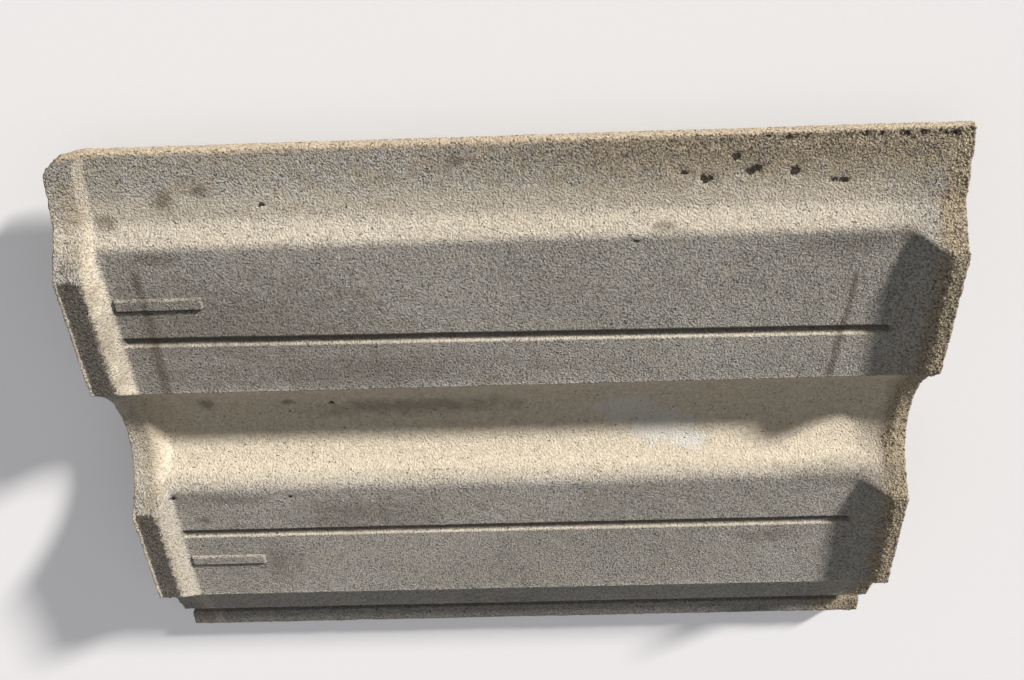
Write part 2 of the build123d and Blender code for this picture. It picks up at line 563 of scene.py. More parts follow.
@dataclass(frozen=True)
class Wear:
    """Weathering and damage of this tile, in millimetres from its head and its underlock edge."""

    # Place along the edge and depth of the corner's chip, in the head end and in the underlock's edge
    corner_chip: tuple[tuple[float, float], ...] = (
        (0.0, 8.5),
        (1.8, 6.2),
        (3.6, 4.6),
        (6.0, 1.8),
        (9.0, 0.0),
    )
    edge_chip: tuple[tuple[float, float], ...] = ((0.0, 2.4), (7.0, 1.6), (11.0, 0.6), (18.0, 0.0))
    tail_dip_middle: float = 44.0
    tail_dip_half: float = 7.0
    tail_dip_depth: float = 0.3
    # How far inwards each of them reaches, and the ragged bands along the lip and the two ends
    corner_chip_reach: float = 34.0
    edge_chip_reach: float = 16.0
    tail_dip_reach: float = 24.0
    lip_reach: float = 14.0
    end_reach: float = 9.0
    # Where each of these changes starts and where it is complete, across the tile
    lip_open_run: tuple[float, float] = (19.0, 6.0)
    flank_open_run: tuple[float, float] = (36.0, 12.0)
    flank_tan_run: tuple[float, float] = (36.0, 8.0)
    lip_skin_run: tuple[float, float] = (4.0, 0.0)
    slope_worn_run: tuple[float, float] = (150.0, 205.0)
    # The same, along the tile
    lip_open_growth: tuple[float, float] = (120.0, 350.0)
    flank_open_growth: tuple[float, float] = (240.0, 400.0)
    flank_tan_growth: tuple[float, float] = (120.0, 340.0)
    lip_grain_growth: tuple[float, float] = (240.0, 380.0)
    lip_groove_growth: tuple[float, float] = (200.0, 330.0)
    knee_paste_growth: tuple[float, float] = (402.0, 370.0)
    # The two sides of the shallow groove beside the lip's edge
    lip_groove_sides: tuple[float, float] = (1.4, 6.4)
    pits: tuple[Mark, ...] = (
        Mark(291.7, 17.7, 1.5, 1.3),
        Mark(301.8, 20.8, 3.0, 1.7),
        Mark(300.6, 19.4, 1.6, 1.4),
        Mark(314.5, 10.6, 2.2, 1.5),
        Mark(321.4, 17.6, 2.6, 1.6),
        Mark(324.0, 16.2, 2.2, 1.9),
        Mark(341.1, 17.9, 2.0, 2.4),
        Mark(359.6, 22.4, 2.0, 1.0),
        Mark(363.8, 22.8, 2.2, 1.3),
        Mark(328.3, 2.3, 0.9, 1.0),
        Mark(337.6, 2.6, 1.5, 1.3),
        Mark(345.5, 2.8, 1.0, 1.4),
        Mark(363.4, 2.1, 1.2, 0.9),
        Mark(371.4, 2.0, 1.7, 1.2),
        Mark(378.4, 2.2, 1.0, 1.5),
        Mark(388.6, 2.6, 2.3, 1.6),
        Mark(397.0, 2.2, 1.9, 1.0),
        Mark(406.8, 2.3, 1.0, 1.2),
        Mark(411.0, 2.6, 1.5, 1.3),
        Mark(269.7, 45.9, 1.4, 0.6),
        Mark(20.2, 201.2, 1.2, 1.1),
        Mark(84.9, 201.8, 1.1, 0.7),
        Mark(111.3, 154.7, 1.5, 1.1),
        Mark(98.0, 26.2, 1.1, 1.0),
    )
    stains: tuple[Mark | Streak, ...] = (
        Streak(34.6, 0.02, 4.0, 55.0, 86.0),
        Streak(35.2, -0.03, 4.6, 84.0, 132.0),
        Streak(373.6, -0.05, 2.6, 66.0, 92.0),
        Streak(372.0, -0.09, 3.6, 90.0, 128.0),
        Mark(24.6, 33.1, 4.6, 3.4),
        Mark(53.3, 23.0, 4.6, 4.8),
        Mark(70.3, 19.1, 3.8, 2.6),
        Mark(43.3, 152.5, 4.2, 4.2),
        Mark(88.5, 152.6, 3.4, 2.2),
        Mark(188.0, 8.5, 4.0, 2.4),
        Mark(34.0, 218.0, 4.0, 2.0),
        Mark(282.7, 40.0, 4.6, 1.6),
    )
    damp: tuple[Mark, ...] = (
        Mark(29.0, 92.0, 8.0, 38.0),
        Mark(70.0, 88.0, 60.0, 22.0),
        Mark(120.0, 116.0, 90.0, 9.0),
        Mark(44.0, 48.0, 13.0, 3.6),
        Mark(385.0, 196.0, 26.0, 5.0),
        Mark(46.0, 203.0, 22.0, 4.0),
        Mark(150.0, 158.0, 50.0, 5.0),
        Mark(372.0, 50.0, 22.0, 5.0),
        Mark(125.0, 217.0, 36.0, 10.0),
        Mark(71.0, 252.0, 9.0, 11.0),
        Mark(352.0, 240.0, 16.0, 5.0),
    )
    lime: tuple[Mark, ...] = (
        Mark(272.0, 163.0, 17.0, 9.0),
        Mark(289.0, 174.0, 18.0, 8.0),
        Mark(303.0, 181.0, 9.0, 4.0),
    )


@dataclass(frozen=True)
class Places:
    """The body's points: distances from the head and from the underlock edge, and kind of surface."""

    along: np.ndarray
    across: np.ndarray
    skin: np.ndarray

    def on(self, skin: Skin) -> np.ndarray:
        """Marks the points on one kind of surface."""
        return self.skin == skin.value


class Weathering:
    """Turns the tile's wear into shifts of its edges and into the masks that relief and finish read, some of
    which place painted shade and a painted highlight.
    """

    def __init__(self, section: TileSection, relief: PanelRelief, wear: Wear) -> None:
        """Keeps the sizes that the masks are placed by.

        Args:
            section: Sizes of the tile's section and rims.
            relief: Sizes of the panels' grooves and bars.
            wear: Places and sizes of the wear.
        """
        self.section = section
        self.relief = relief
        self.wear = wear

    def chip(self, places: Places) -> tuple[np.ndarray, np.ndarray]:
        """How far each point moves for the chipped corner and the dip in the tail.

        Args:
            places: Where the points lie.

        Returns:
            Shifts along and across the tile, in millimetres.
        """
        w, along, across = self.wear, places.along, places.across
        head = np.interp(across, *zip(*w.corner_chip)) * fade(along, w.corner_chip_reach)
        dip = w.tail_dip_depth * ramp(np.abs(across - w.tail_dip_middle), w.tail_dip_half, 0.0)
        tail = dip * fade(self.section.length - along, w.tail_dip_reach)
        lip = np.interp(along, *zip(*w.edge_chip)) * fade(across, w.edge_chip_reach, 2.0)
        return head - tail, lip

    def _nibs(self, places: Places, soft: float) -> np.ndarray:
        """How far each place is within the nibs' width, from 0 to 1, with slopes that are soft wide."""
        return np.maximum(*[within(places.across, start, end, soft) for start, end in self.section.nibs])

    def _open_face(self, places: Places) -> np.ndarray:
        """How open the concrete's face is.

        Args:
            places: Where the points lie.

        Returns:
            0 where the face is moulded, up to 1 where it is cut.
        """
        s, w, along, across = self.section, self.wear, places.along, places.across
        under = np.maximum.reduce([
            ramp(across, *w.lip_open_run) * (0.15 + 0.85 * ramp(along, *w.lip_open_growth)),
            ramp(along, s.tail_edge - 8.0, s.tail_edge + 1.0),
            0.3 * ramp(across, *w.flank_open_run) * ramp(along, *w.flank_open_growth),
            0.4 * ramp(along, s.head_rim - 1.0, s.head_rim - 4.0),
            0.5 * ramp(across, s.width - 14.0, s.width - 9.0),
        ])
        ends = 0.3 * np.maximum(ramp(along, 6.0, 0.0), ramp(along, s.length - 8.0, s.length))
        edges = np.where(across < s.roll_start, 0.1, 0.6)
        open_face = np.where(places.on(Skin.WEATHER), ends, under)
        open_face = np.where(places.on(Skin.EDGE), edges, open_face)
        return np.where(places.on(Skin.CUT_END), 1.0, open_face)

    def _from_grooves(self, places: Places) -> list[np.ndarray]:
        """How far each place lies across from the middle of each groove.

        Args:
            places: Where the points lie.

        Returns:
            One array for each groove.
        """
        s, r = self.section, self.relief
        first = np.interp(places.along, (s.head_foot, s.tail_foot), (r.groove_1_head, r.groove_1_tail))
        return [places.across - s.panels[0][0] - first, places.across - s.panels[1][0] - r.groove_2]

    def _bar_middles(self) -> tuple[float, float]:
        """Where the middle of each bar lies across the tile."""
        (start_1, _), (start_2, _) = self.section.panels
        return start_1 + self.relief.bar_1, start_2 + self.relief.bar_2

    def _painted_groove_shade(self, places: Places) -> np.ndarray:
        """The grooves' upper walls and floors and the bars' feet, which lie in shade and are darkened there
        as painted shade.

        Args:
            places: Where the points lie.

        Returns:
            One number from 0 to 1 for each point.
        """
        s, r = self.section, self.relief
        between = within(places.along, s.head_foot, s.tail_foot, 1.0)
        grime = []
        for away, mouth, floor in zip(self._from_grooves(places), r.groove_mouths, r.groove_floors):
            grime.append(within(away, 0.2 - mouth / 2.0, floor[1], 0.6) * between)
        start, end = r.bar_run(s.head_foot)
        beside = within(places.along, start - 1.0, end - 1.0, 2.0)
        for middle in self._bar_middles():
            foot = middle + r.bar_width / 2.0
            grime.append(within(places.across, foot - r.bar_bevel, foot + 1.0, 0.6) * beside)
        return np.maximum.reduce(grime)

    def _painted_lit_walls(self, places: Places) -> np.ndarray:
        """The grooves' lower walls and the bars' bevels, which face the lamp: pale paste there is a painted
        highlight.

        Args:
            places: Where the points lie.

        Returns:
            One number from 0 to 1 for each point.
        """
        s, r, along, across = self.section, self.relief, places.along, places.across
        between = within(along, s.head_foot, s.tail_foot, 1.0)
        lit = []
        for away, mouth, floor in zip(self._from_grooves(places), r.groove_mouths, r.groove_floors):
            lit.append(within(away, floor[1], mouth / 2.0, 0.5) * between)
        start, end = r.bar_run(s.head_foot)
        for middle in self._bar_middles():
            low, high = middle - r.bar_width / 2.0, middle + r.bar_width / 2.0
            side = within(across, low - 0.1, low + r.bar_bevel / 2.0, 0.4) * within(along, start, end, 0.6)
            tip = within(along, end - r.bar_bevel / 2.0, end + 0.1, 0.4) * within(across, low, high, 0.4)
            lit.append(np.maximum(side, tip))
        return np.maximum.reduce(lit)

    def _tan(self, places: Places) -> np.ndarray:
        """Where tan sand shows on the underside: along the lip, on the tail rim and on the head slope.

        Args:
            places: The body's points.

        Returns:
            One value from 0 to 1 for each point.
        """
        s, w, along, across = self.section, self.wear, places.along, places.across
        return np.maximum.reduce([
            0.9 * ramp(across, *w.flank_tan_run) * (0.3 + 0.7 * ramp(along, *w.flank_tan_growth)),
            ramp(along, s.tail_edge - 12.0, s.tail_edge + 1.0),
            0.4 * ramp(along, s.head_foot, s.head_rim) * ramp(along, 2.0, 8.0),
        ])

    def _burr(self, places: Places) -> np.ndarray:
        """The burr along the nibs' edges at the head, from 0 to 1."""
        return ramp(places.along, 2.0, 0.8) * self._nibs(places, 2.0)

    def _nib_faces(self, places: Places) -> np.ndarray:
        """The open faces of the nibs on the head rim, from 0 to 1."""
        rim = within(places.along, -9.0, self.section.head_rim - 0.6, 5.0)
        return np.minimum.reduce([rim, ramp(places.along, 1.2, 2.2), self._nibs(places, 5.0)])

    def _paste(self, places: Places) -> np.ndarray:
        """Where smooth cement paste covers the underside: slopes, hollow, knee and burrs, and, as a painted
        highlight, the walls that face the lamp.

        Args:
            places: Where the points lie.

        Returns:
            One number from 0 to 1 for each point.
        """
        s, w, along, across = self.section, self.wear, places.along, places.across
        (start_1, end_1), (start_2, _) = s.panels
        hollow = within(across, end_1 + 4.0, start_2 - 2.0, 8.0) * (1.0 - 0.35 * ramp(along, 20.0, 8.0))
        knee = np.minimum(ramp(across, 13.0, start_1 - 14.0), within(across, 0.0, start_1 + 0.5, 4.0))
        knee *= 0.2 + 0.42 * ramp(along, *w.knee_paste_growth)
        slope = within(along, s.head_rim + 0.6, s.head_foot, 1.4)
        slope *= 0.8 - 0.4 * ramp(across, *w.slope_worn_run)
        # Pale paste on the walls that face the lamp is a painted highlight
        return np.maximum.reduce([slope, hollow, knee, self._burr(places), 0.75 * self._painted_lit_walls(places)])

    def _rim_grain(self, places: Places) -> np.ndarray:
        """Where single grains show on the underside: on the tail rim, the ribs beside it and the lip.

        Args:
            places: Where the points lie.

        Returns:
            One number from 0 to 1 for each point.
        """
        s, w, along, across = self.section, self.wear, places.along, places.across
        rib = ramp(across, s.width - 15.0, s.width - 12.0)
        rib *= ramp(along, s.tail_edge - 26.0, s.tail_edge - 16.0)
        return np.maximum.reduce([
            ramp(along, s.tail_edge - 7.0, s.tail_edge + 2.0),
            0.8 * rib,
            0.5 * fade(across, w.lip_reach, 2.0) * ramp(along, *w.lip_grain_growth),
        ])

    def masks(self, places: Places) -> dict[str, np.ndarray]:
        """The values from 0 to 1 that relief, aggregate and finish read, by name.

        Args:
            places: Where the points lie.

        Returns:
            One array for each name.
        """
        s, w, along, across = self.section, self.wear, places.along, places.across
        under, cut = places.on(Skin.UNDERSIDE), places.on(Skin.CUT_END)
        weather, edge = places.on(Skin.WEATHER), places.on(Skin.EDGE)

        def below(values: np.ndarray) -> np.ndarray:
            """Values on the underside, with nothing on the other surfaces."""
            return np.where(under, values, 0.0)

        def strongest(marks: Sequence[Mark | Streak]) -> np.ndarray:
            """The nearest mark's value at each place of the underside."""
            return below(np.maximum.reduce([mark.cone(along, across) for mark in marks]))

        lip_skin = below(ramp(across, *w.lip_skin_run))
        lip_groove = within(across, *w.lip_groove_sides, 1.8) * ramp(along, *w.lip_groove_growth)
        return {
            "open_face": self._open_face(places),
            "cut_face": np.where(cut, 1.0, 0.0),
            "weather_face": np.where(weather, 1.0, np.where(edge, 0.3, 0.0)),
            "tan": np.where(under, self._tan(places), 0.6),
            "nib": below(self._nib_faces(places)),
            "paste": below(self._paste(places)),
            "stain": strongest(w.stains),
            "damp": strongest(w.damp),
            # Painted shade on the grooves' upper walls and floors and at the bars' feet
            "grime": below(self._painted_groove_shade(places)),
            "lime": strongest(w.lime),
            "pit": strongest(w.pits),
            "lip_skin": np.where(edge & (across < s.roll_start), 1.0, lip_skin),
            "burr": below(self._burr(places)),
            "near_head": fade(along, w.end_reach),
            "near_tail": fade(s.length - along, w.end_reach),
            "near_lip": fade(across, w.lip_reach, 2.0),
            "lip_groove": below(lip_groove),
            "head_grain": np.where(cut & (along < 1.0), 1.0, 0.0),
            "tail_grain": np.where(cut & (along > 1.0), 1.0, 0.0),
            "rim_grain": below(self._rim_grain(places)),
        }


class Hull:
    """Collects blocks of points and the faces between them, for one closed mesh."""

    def __init__(self) -> None:
        """Starts without points or faces."""
        self.points: list[np.ndarray] = []
        self.skins: list[np.ndarray] = []
        self.faces: list[list[int]] = []
        self.count = 0

    def block(self, along: np.ndarray, section_points: np.ndarray, skin: Skin) -> np.ndarray:
        """Adds a block of points.

        Args:
            along: Distances from the head, in a shape that fits the block's.
            section_points: Across and height of each point, in the last axis.
            skin: Surface that the block lies on.

        Returns:
            The numbers of the points, in the block's shape.
        """
        shape = section_points.shape[:-1]
        points = np.concatenate([np.broadcast_to(along, shape)[..., None], section_points], axis=-1)
        self.points.append(points.reshape(-1, 3))
        self.skins.append(np.full(points.size // 3, skin.value))
        numbers = np.arange(self.count, self.count + points.size // 3).reshape(shape)
        self.count += numbers.size
        return numbers

    def sheet(self, numbers: np.ndarray, flip: bool) -> None:
        """Adds the four-sided faces between a block's rows and columns, turned over if flip is true."""
        quads = np.stack([numbers[:-1, :-1], numbers[:-1, 1:], numbers[1:, 1:], numbers[1:, :-1]], axis=-1)
        self.faces += quads.reshape(-1, 4)[:, :: -1 if flip else 1].tolist()

    def seam(self, fine: np.ndarray, coarse: np.ndarray, flip: bool) -> None:
        """Adds the five-sided faces between a fine row of points and one with half as many steps."""
        five = np.stack([fine[:-2:2], fine[1:-1:2], fine[2::2], coarse[1:], coarse[:-1]], axis=-1)
        self.faces += five[:, :: -1 if flip else 1].tolist()


class TileBody:
    """The cast body of the tile as one closed mesh that stands for the solid."""

    # Steps across the end faces and the edges, from the underside to the weather side
    rungs: int = 8
    # Steps on each half of the rounding at a panel's edge
    half_rounding: int = 3
    # Steps on the plain parts of each panel: before, between and after its bar and its groove
    plain_steps: tuple[tuple[int, ...], ...] = ((17, 11, 14), (20, 11, 17))
    # The two of the underside's six zones that are panels
    panel_zones: tuple[int, int] = (1, 4)
    # The first and the last stop on the bar's top and on the groove's floor, for each panel
    bar_tops: tuple[tuple[int, int], ...] = ((3, 6), (9, 12))
    groove_floors: tuple[tuple[int, int], ...] = ((11, 12), (3, 4))
    # Half widths of the worn bends, from the one at the head rim to the one at the tail rim
    bend_softness: tuple[float, ...] = (1.6, 0.8, 4.0, 1.6)
    # Level of all the points that aren't on the underside, which keeps the pits' colour off them
    far_level: float = 100.0

    def __init__(self, section: TileSection, relief: PanelRelief, weathering: Weathering) -> None:
        """Keeps what the mesh is made from.

        Args:
            section: Sizes of the tile's section and rims.
            relief: Sizes of the panels' grooves and bars.
            weathering: What gives the wear's shifts and masks.
        """
        self.section = section
        self.relief = relief
        self.weathering = weathering

    def _rows(self) -> np.ndarray:
        """Distances from the head at which the mesh has a ring of points.

        Returns:
            The distances, from the head to the tail.
        """
        s, r = self.section, self.relief
        start, end = r.bar_run(s.head_foot)
        edge = r.bar_bevel + r.margin
        # Where each leg starts, and its steps: shorter ones at every edge and towards the worn tail
        legs = [
            (0.0, 3),
            (2.1, 9),
            (s.head_rim, 8),
            (s.head_foot, 1),
            (s.head_foot + 0.8, 1),
            (start - r.margin, 1),
            (start, 1),
            (start + r.bar_bevel, 1),
            (start + edge, 26),
            (end - edge, 1),
            (end - r.bar_bevel, 1),
            (end, 1),
            (end + r.margin, 83),
            (272.0, 44),
            (366.0, 11),
            (380.0, 10),
            (s.tail_foot, 14),
            (s.tail_edge, 8),
        ]
        stops, steps = zip(*legs)
        return spread([*stops, s.length], steps)

    def _stand(self, along: np.ndarray) -> np.ndarray:
        """How far the section stands as a rim, with the rims' edges softened by wear.

        Args:
            along: Distances from the head.

        Returns:
            One number from 0 to 1 for each distance.
        """
        s = self.section
        bends = (s.head_rim, s.head_foot, s.tail_foot, s.tail_edge)
        stand = np.interp(along, bends, [1.0, 0.0, 0.0, 1.0])
        head, tail = 1.0 / s.head_slope, 1.0 / s.tail_slope
        for place, bend, half in zip(bends, (-head, head, tail, -tail), self.bend_softness):
            stand = stand + bend * np.clip(half - np.abs(along - place), 0.0, None) ** 2 / (4.0 * half)
        return stand

    def _panel_stops(self, number: int, start: float, end: float, tail: bool) -> Stops:
        """Places across a panel that its columns pass through.

        Args:
            number: 0 for the first panel and 1 for the second.
            start: Where its flat part starts.
            end: Where it ends.
            tail: Whether the grooves are placed as at the tail.

        Returns:
            The places, and the number of steps between them.
        """
        r, origin = self.relief, self.section.panels[number][0]
        if number == 0:
            groove = r.groove_1_tail if tail else r.groove_1_head
            parts = [r.bar_stops(origin + r.bar_1), r.groove_stops(0, origin + groove)]
        else:
            parts = [r.groove_stops(1, origin + r.groove_2), r.bar_stops(origin + r.bar_2)]
        (stops_1, steps_1), (stops_2, steps_2) = parts
        before, between, after = self.plain_steps[number]
        return [start, *stops_1, *stops_2, end], [before, *steps_1, between, *steps_2, after]

    def _zones(self, stand: float, tail: bool) -> list[np.ndarray]:
        """The underside's columns in six zones between the section's main corners.

        Args:
            stand: 0 between the rims and 1 on a rim.
            tail: Whether the grooves are placed as at the tail.

        Returns:
            The points of each zone, without its last one, as across and height.
        """
        outline, half = self.section.outline(stand), self.half_rounding

        def arc(corner: int, steps: int, start: float = 0.0, end: float = 1.0) -> np.ndarray:
            """Columns on a corner's rounding, without the last one."""
            return outline.arc(corner, np.linspace(start, end, steps, endpoint=False))

        def line(corner: int, steps: int) -> np.ndarray:
            """Columns on the straight run after a corner, without the last one."""
            return outline.line(corner, np.linspace(0.0, 1.0, steps, endpoint=False))

        def panel(corner: int, number: int) -> np.ndarray:
            """Columns on a panel, without the last one.

            Args:
                corner: Number of the corner before the panel.
                number: 0 for the first panel and 1 for the second.

            Returns:
                One row of across and height for each column.
            """
            start, end = outline.line(corner, np.array([0.0, 1.0]))
            across = spread(*self._panel_stops(number, start[0], end[0], tail))[:-1]
            return np.stack([across, np.full(len(across), start[1])], axis=-1)

        # Corner and number of steps of each run; the roundings between two zones are halved
        ribs = [line(7, 9)]
        for corner, steps in ((8, 3), (9, 7), (10, 5), (11, 2), (12, 6)):
            ribs += [arc(corner, 2), line(corner, steps)]
        return [
            np.vstack([arc(0, 2, 0.5), line(0, 24), arc(1, 5), line(1, 6), arc(2, half, 0.0, 0.5)]),
            np.vstack([arc(2, half, 0.5), panel(2, 0), arc(3, half, 0.0, 0.5)]),
            np.vstack([arc(3, half, 0.5), line(3, 12), arc(4, 19, 0.0, 0.5)]),
            np.vstack([arc(4, 19, 0.5), line(4, 12), arc(5, half, 0.0, 0.5)]),
            np.vstack([arc(5, half, 0.5), panel(5, 1), arc(6, half, 0.0, 0.5)]),
            np.vstack([arc(6, half, 0.5), line(6, 6), arc(7, 5), *ribs, arc(13, 2, 0.0, 0.5)]),
        ]

    def _underside(self, stand: float, tail: bool) -> np.ndarray:
        """All the underside's columns, with the last one in the middle of the overlock edge's rounding."""
        last = self.section.outline(stand).arc(13, np.array([0.5]))
        return np.vstack(self._zones(stand, tail) + [last])

    def _weather(self, steps: Sequence[int]) -> np.ndarray:
        """The weather side's columns.

        Args:
            steps: Number of steps in each of the six zones.

        Returns:
            One row of across and height for each column.
        """
        outline = Outline(self.section.weather_corners() + self.section.underside_corners(0.0)[::-1])
        # First and last corner of each zone; its steps go one by one to the run with the longest ones
        zones = [(0, 9), (9, 10), (10, 11), (11, 12), (12, 13), (13, 15)]
        columns = []
        for (first, last), total in zip(zones, steps):
            runs = []
            for corner in range(first, last):
                runs.append((outline.arc, corner, 0.5 if corner == first else 0.0, 1.0))
                runs.append((outline.line, corner, 0.0, 1.0))
            runs.append((outline.arc, last, 0.0, 0.5))
            traces = [draw(corner, np.linspace(start, end, 9)) for draw, corner, start, end in runs]
            lengths = [np.linalg.norm(np.diff(trace, axis=0), axis=1).sum() for trace in traces]
            counts = [1] * len(runs)
            while sum(counts) < total:
                counts[max(range(len(runs)), key=lambda n: lengths[n] / counts[n])] += 1
            for (draw, corner, start, end), count in zip(runs, counts):
                columns.append(draw(corner, np.linspace(start, end, count, endpoint=False)))
        return np.vstack(columns + [outline.arc(15, np.array([0.5]))])

    def _edge(self, stand: float, overlock: bool) -> np.ndarray:
        """Points down an edge of the tile, evenly spaced.

        Args:
            stand: 0 between the rims and 1 on a rim.
            overlock: Whether this is the overlock's edge.

        Returns:
            One row of across and height for each point, from the underside to the weather side.
        """
        outline = self.section.outline(stand)
        under, last = len(self.section.underside_corners(stand)), len(outline.corners) - 1
        half = np.linspace(0.0, 0.5, 7)
        if overlock:
            path = np.vstack([outline.arc(under - 1, 0.5 + half), outline.arc(under, half)])
        else:
            path = np.vstack([outline.arc(0, 0.5 - half), outline.arc(last, 1.0 - half)])
        run = np.concatenate([[0.0], np.cumsum(np.linalg.norm(np.diff(path, axis=0), axis=1))])
        at = np.linspace(0.0, run[-1], self.rungs + 1)
        return np.stack([np.interp(at, run, path[:, axis]) for axis in (0, 1)], axis=-1)

    def _columns_of(self, spans: Sequence[tuple[int, int]]) -> np.ndarray:
        """Marks the columns of one kind of relief on both panels with 1.

        Args:
            spans: The first and the last stop that the relief lies on, for each panel.

        Returns:
            One number for each column of the underside.
        """
        sizes = [len(zone) for zone in self._zones(0.0, False)]
        marked = np.zeros(sum(sizes) + 1)
        for number, (first, last) in enumerate(spans):
            _, steps = self._panel_stops(number, 0.0, 1.0, False)
            before = sum(sizes[: self.panel_zones[number]]) + self.half_rounding
            at = before + np.concatenate([[0], np.cumsum(steps)])
            marked[at[first] : at[last] + 1] = 1.0
        return marked

    def _carve(self, rows: np.ndarray, under: np.ndarray) -> None:
        """Lowers the grooves, raises the bars and lifts the thin burr along the panels' lower edges.

        Args:
            rows: Distances of the rings from the head.
            under: Across and height of the underside's points, which are changed.
        """
        s, r = self.section, self.relief
        tops, floors = self._columns_of(self.bar_tops), self._columns_of(self.groove_floors)
        start, end = r.bar_run(s.head_foot)
        bar_rows = np.clip(np.minimum(rows - start, end - rows) / r.bar_bevel, 0.0, 1.0)
        groove_rows = np.clip(np.minimum(rows - s.head_foot, s.tail_foot - rows) / r.groove_end, 0.0, 1.0)
        # The column half way up each of a groove's walls lies half as deep as its floor
        walls = np.maximum.reduce([floors, 0.5 * np.roll(floors, 1), 0.5 * np.roll(floors, -1)])
        height = under[:, :, 1]
        height -= r.bar_height * bar_rows[:, None] * tops
        height += r.groove_depth * groove_rows[:, None] * walls
        between = within(rows, s.head_foot + 1.0, s.tail_foot - 2.0, 3.0)[:, None]
        for _, edge in s.panels:
            height -= r.burr_height * between * ramp(np.abs(under[:, :, 0] - edge), r.burr_end, r.burr_full)

    def _shape(self) -> Hull:
        """Puts the body's points and faces together.

        Returns:
            The points and the faces of the whole closed surface.
        """
        s = self.section
        rows = self._rows()
        stand = self._stand(rows)[:, None, None]
        slide = np.clip((rows - s.head_foot) / (s.tail_foot - s.head_foot), 0.0, 1.0)[:, None, None]
        flat, rim = (
            (1 - slide) * self._underside(at, False) + slide * self._underside(at, True) for at in (0.0, 1.0)
        )
        under = (1 - stand) * flat + stand * rim
        self._carve(rows, under)
        bounds = np.concatenate([[0], np.cumsum([len(zone) for zone in self._zones(0.0, False)])]) // 2
        weather = self._weather(np.diff(bounds).tolist())
        hull = Hull()
        top = hull.block(rows[:, None], under, Skin.UNDERSIDE)
        hull.sheet(top, False)
        # The weather side has half as many rings and columns
        low = hull.block(rows[::2, None], np.repeat(weather[None], len(rows) // 2 + 1, axis=0), Skin.WEATHER)
        hull.sheet(low, True)
        sides = []
        for overlock in (False, True):
            path = (1 - stand) * self._edge(0.0, overlock) + stand * self._edge(1.0, overlock)
            side = hull.block(rows[:, None], path[:, 1:-1], Skin.EDGE)
            column = -1 if overlock else 0
            hull.sheet(np.column_stack([top[:, column], side]), not overlock)
            hull.seam(side[:, -1], low[:, column], overlock)
            sides.append(side)
        fine = np.arange(under.shape[1]) / 2.0
        halved = np.arange(len(weather))
        facing = np.stack([np.interp(fine, halved, weather[:, axis]) for axis in (0, 1)], axis=-1)
        share = (np.arange(1, self.rungs) / self.rungs)[:, None, None]
        for row in (0, -1):
            inner = (1 - share) * under[row] + share * facing
            face = hull.block(rows[row], inner[:, 1:-1], Skin.CUT_END)
            level = np.vstack([top[row], np.column_stack([sides[0][row], face, sides[1][row]])])
            hull.sheet(level, row == 0)
            hull.seam(level[-1], low[row], row == 0)
        return hull

    def build(self) -> bpy.types.Mesh:
        """Makes the body's mesh, with the masks that the relief and the finishes read.

        Returns:
            The closed mesh.
        """
        hull = self._shape()
        points = np.concatenate(hull.points)
        places = Places(points[:, 0].copy(), points[:, 1].copy(), np.concatenate(hull.skins))
        chip_along, chip_across = self.weathering.chip(places)
        points[:, 0] += chip_along
        points[:, 1] += chip_across
        mesh = bpy.data.meshes.new("cast_body")
        mesh.from_pydata(self.section.lay(points).tolist(), [], hull.faces)
        for name, values in self.weathering.masks(places).items():
            layer = mesh.attributes.new(name, "FLOAT", "POINT")
            layer.data.foreach_set("value", values.astype(np.float32))
        place = mesh.attributes.new("section_place", "FLOAT_VECTOR", "POINT")
        level = np.where(places.on(Skin.UNDERSIDE), 0.0, self.far_level)
        vectors = np.stack([places.along, places.across, level], axis=-1)
        place.data.foreach_set("vector", vectors.ravel().astype(np.float32))
        mesh.update()
        return mesh


def linear(colour: str) -> tuple[float, float, float, float]:
    """Turns an sRGB hex colour into the linear values that a shader takes.

    Args:
        colour: The colour as six hex digits, such as "8c877b".

    Returns:
        Its linear red, green and blue, and 1 for its alpha.
    """
    channels = [int(colour[n : n + 2], 16) / 255.0 for n in (0, 2, 4)]
    # The standard sRGB curve
    curved = [c / 12.92 if c <= 0.04045 else ((c + 0.055) / 1.055) ** 2.4 for c in channels]
    return (*curved, 1.0)


def add_node(
    tree: bpy.types.NodeTree,
    kind: str,
    settings: dict[str, object] | None = None,
    inputs: dict[str | int, object] | None = None,
) -> bpy.types.Node:
    """Adds one node to a tree.

    Args:
        tree: Tree of a material or of a Geometry Nodes group.
        kind: The node's type name.
        settings: Properties of the node.
        inputs: Values for its sockets, or output sockets to link to them, by name or number.

    Returns:
        The new node.
    """
    node = tree.nodes.new(kind)
    for name, value in (settings or {}).items():
        setattr(node, name, value)
    for key, value in (inputs or {}).items():
        if isinstance(value, Socket):
            tree.links.new(value, node.inputs[key])
        else:
            node.inputs[key].default_value = value
    return node


